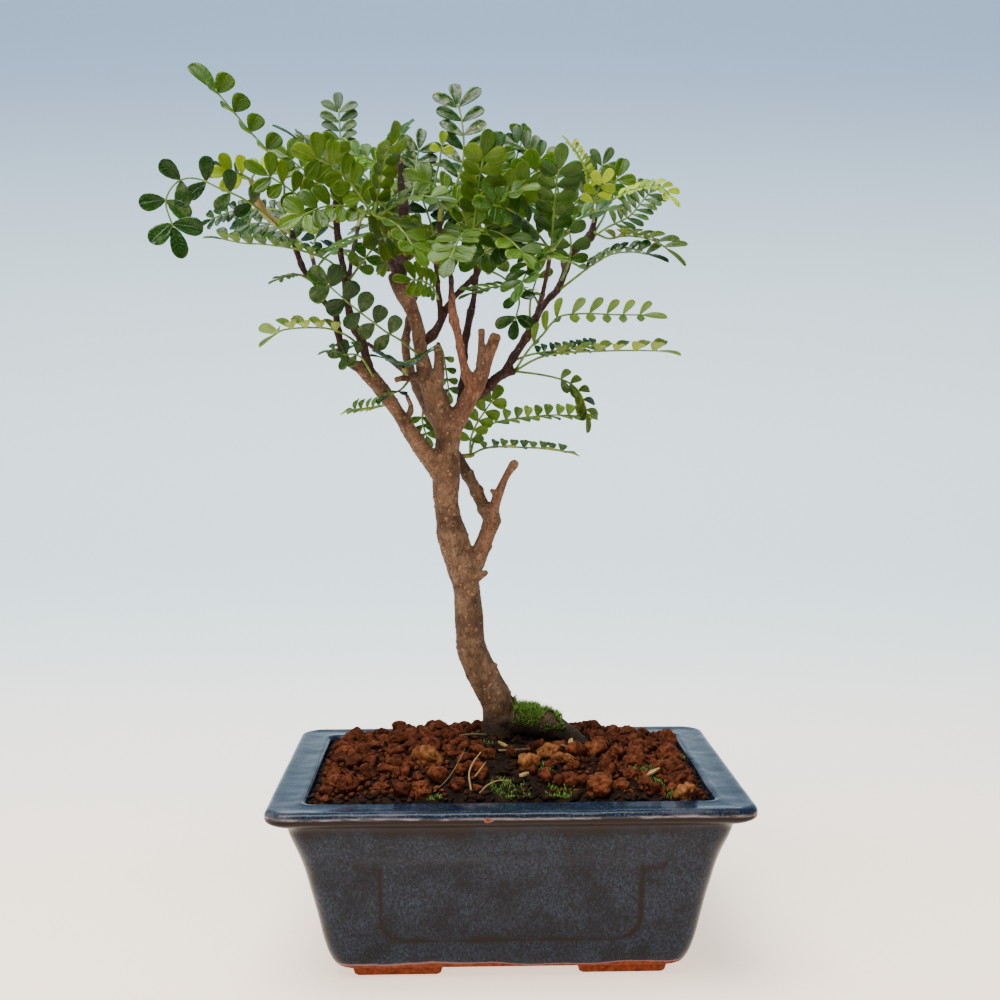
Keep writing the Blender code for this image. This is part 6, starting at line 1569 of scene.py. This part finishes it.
def build_leaves():
    finishes = {tone: leaf_finish(tone) for tone in LEAF_TONES}
    for group in SPRAYS + bunch_sprays():
        name, branch = group["name"], group["branch"]
        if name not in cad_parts:
            continue
        rng = random.Random(name)
        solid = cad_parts[name].data
        surface = BVHTree.FromPolygons([v.co.copy() for v in solid.vertices],
                                       [tuple(p.vertices) for p in solid.polygons])
        tones = list(dict.fromkeys(leaf["tone"] for leaf in group["fronds"]))
        shape = Shape()
        places = add_stem(shape, group, len(tones)) if group["stem"] else ()
        for leaf in group["fronds"]:
            foot, onward = bent_path(leaf["path"], (0, 0))[:2]
            if places:
                start = min(places, key=lambda p: np.linalg.norm(p - foot))
            else:
                start = leave_wood(branch, foot, onward, RIB_HALF)
            path = chosen_path(leaf, start, surface)
            add_frond(shape, leaf, path, tones.index(leaf["tone"]), len(tones), rng, name)
        looks = [*(finishes[t] for t in tones), green_stalk]
        shape.piece(name + "_leaves", "leaf_" + tones[0], looks, [name])


# Floor, light and camera

def build_stage():
    """Pale floor that bends up into the wall behind the plant."""
    reach, back, rise, bend = 3.0, 1.15, 2.6, 0.55
    profile = [(-reach, 0.0), (back, 0.0)]
    profile += [(back + bend * math.sin(a), bend * (1 - math.cos(a)))
                for a in np.linspace(0.1, math.pi / 2, 14)]
    profile.append((back + bend, rise))
    mesh = bpy.data.meshes.new("pale_sweep")
    mesh.from_pydata([(sx * reach, y, z) for y, z in profile for sx in (-1, 1)], [],
                     [(k, k + 1, k + 3, k + 2) for k in range(0, 2 * len(profile) - 2, 2)])
    mesh.shade_smooth()
    mesh.materials.append(pale_paper)
    sweep = bpy.data.objects.new("pale_sweep", mesh)
    bpy.context.scene.collection.objects.link(sweep)


def add_light(name, spot, size, power, colour):
    """Round soft light that looks at the middle of the plant."""
    data = bpy.data.lights.new(name, "AREA")
    data.shape, data.size, data.energy, data.color = "DISK", size, power, colour
    lamp = bpy.data.objects.new(name, data)
    bpy.context.scene.collection.objects.link(lamp)
    lamp.location = spot
    lamp.rotation_mode = "QUATERNION"
    lamp.rotation_quaternion = (Vector((0.0, 0.0, 0.15)) - Vector(spot)).to_track_quat("-Z", "Y")


def build_light():
    world = bpy.data.worlds.new("soft_room")
    bpy.context.scene.world = world
    world.use_nodes = True
    sky = world.node_tree.nodes["Background"]
    sky.inputs["Color"].default_value = (0.9, 0.95, 1.0, 1.0)
    sky.inputs["Strength"].default_value = 0.15
    add_light("overhead", (-0.15, -0.2, 1.1), 0.8, 24.0, (1.0, 0.99, 0.97))
    add_light("front_fill", (-0.6, -1.2, 0.7), 0.9, 4.0, (1.0, 0.98, 0.96))


def build_camera():
    data = bpy.data.cameras.new("front_camera")
    data.lens, data.sensor_width = 46.8, 36.0
    data.clip_start, data.clip_end = 0.02, 20.0
    camera = bpy.data.objects.new("front_camera", data)
    bpy.context.scene.collection.objects.link(camera)
    yaw, pitch, roll = math.radians(1.61), math.radians(3.97), math.radians(0.11)
    look = Vector((math.sin(yaw) * math.cos(pitch), math.cos(yaw) * math.cos(pitch), -math.sin(pitch)))
    camera.rotation_mode = "QUATERNION"
    camera.rotation_quaternion = look.to_track_quat("-Z", "Y") @ Quaternion((0, 0, 1), -roll)
    camera.location = Vector((EYE - MIDDLE) * MM)
    bpy.context.scene.camera = camera


build_camera()
build_stage()
build_light()
build_pot()
build_screens()
build_soil()
build_gravel()
build_peat()
build_moss(build_wood())
build_litter()
build_leaves()
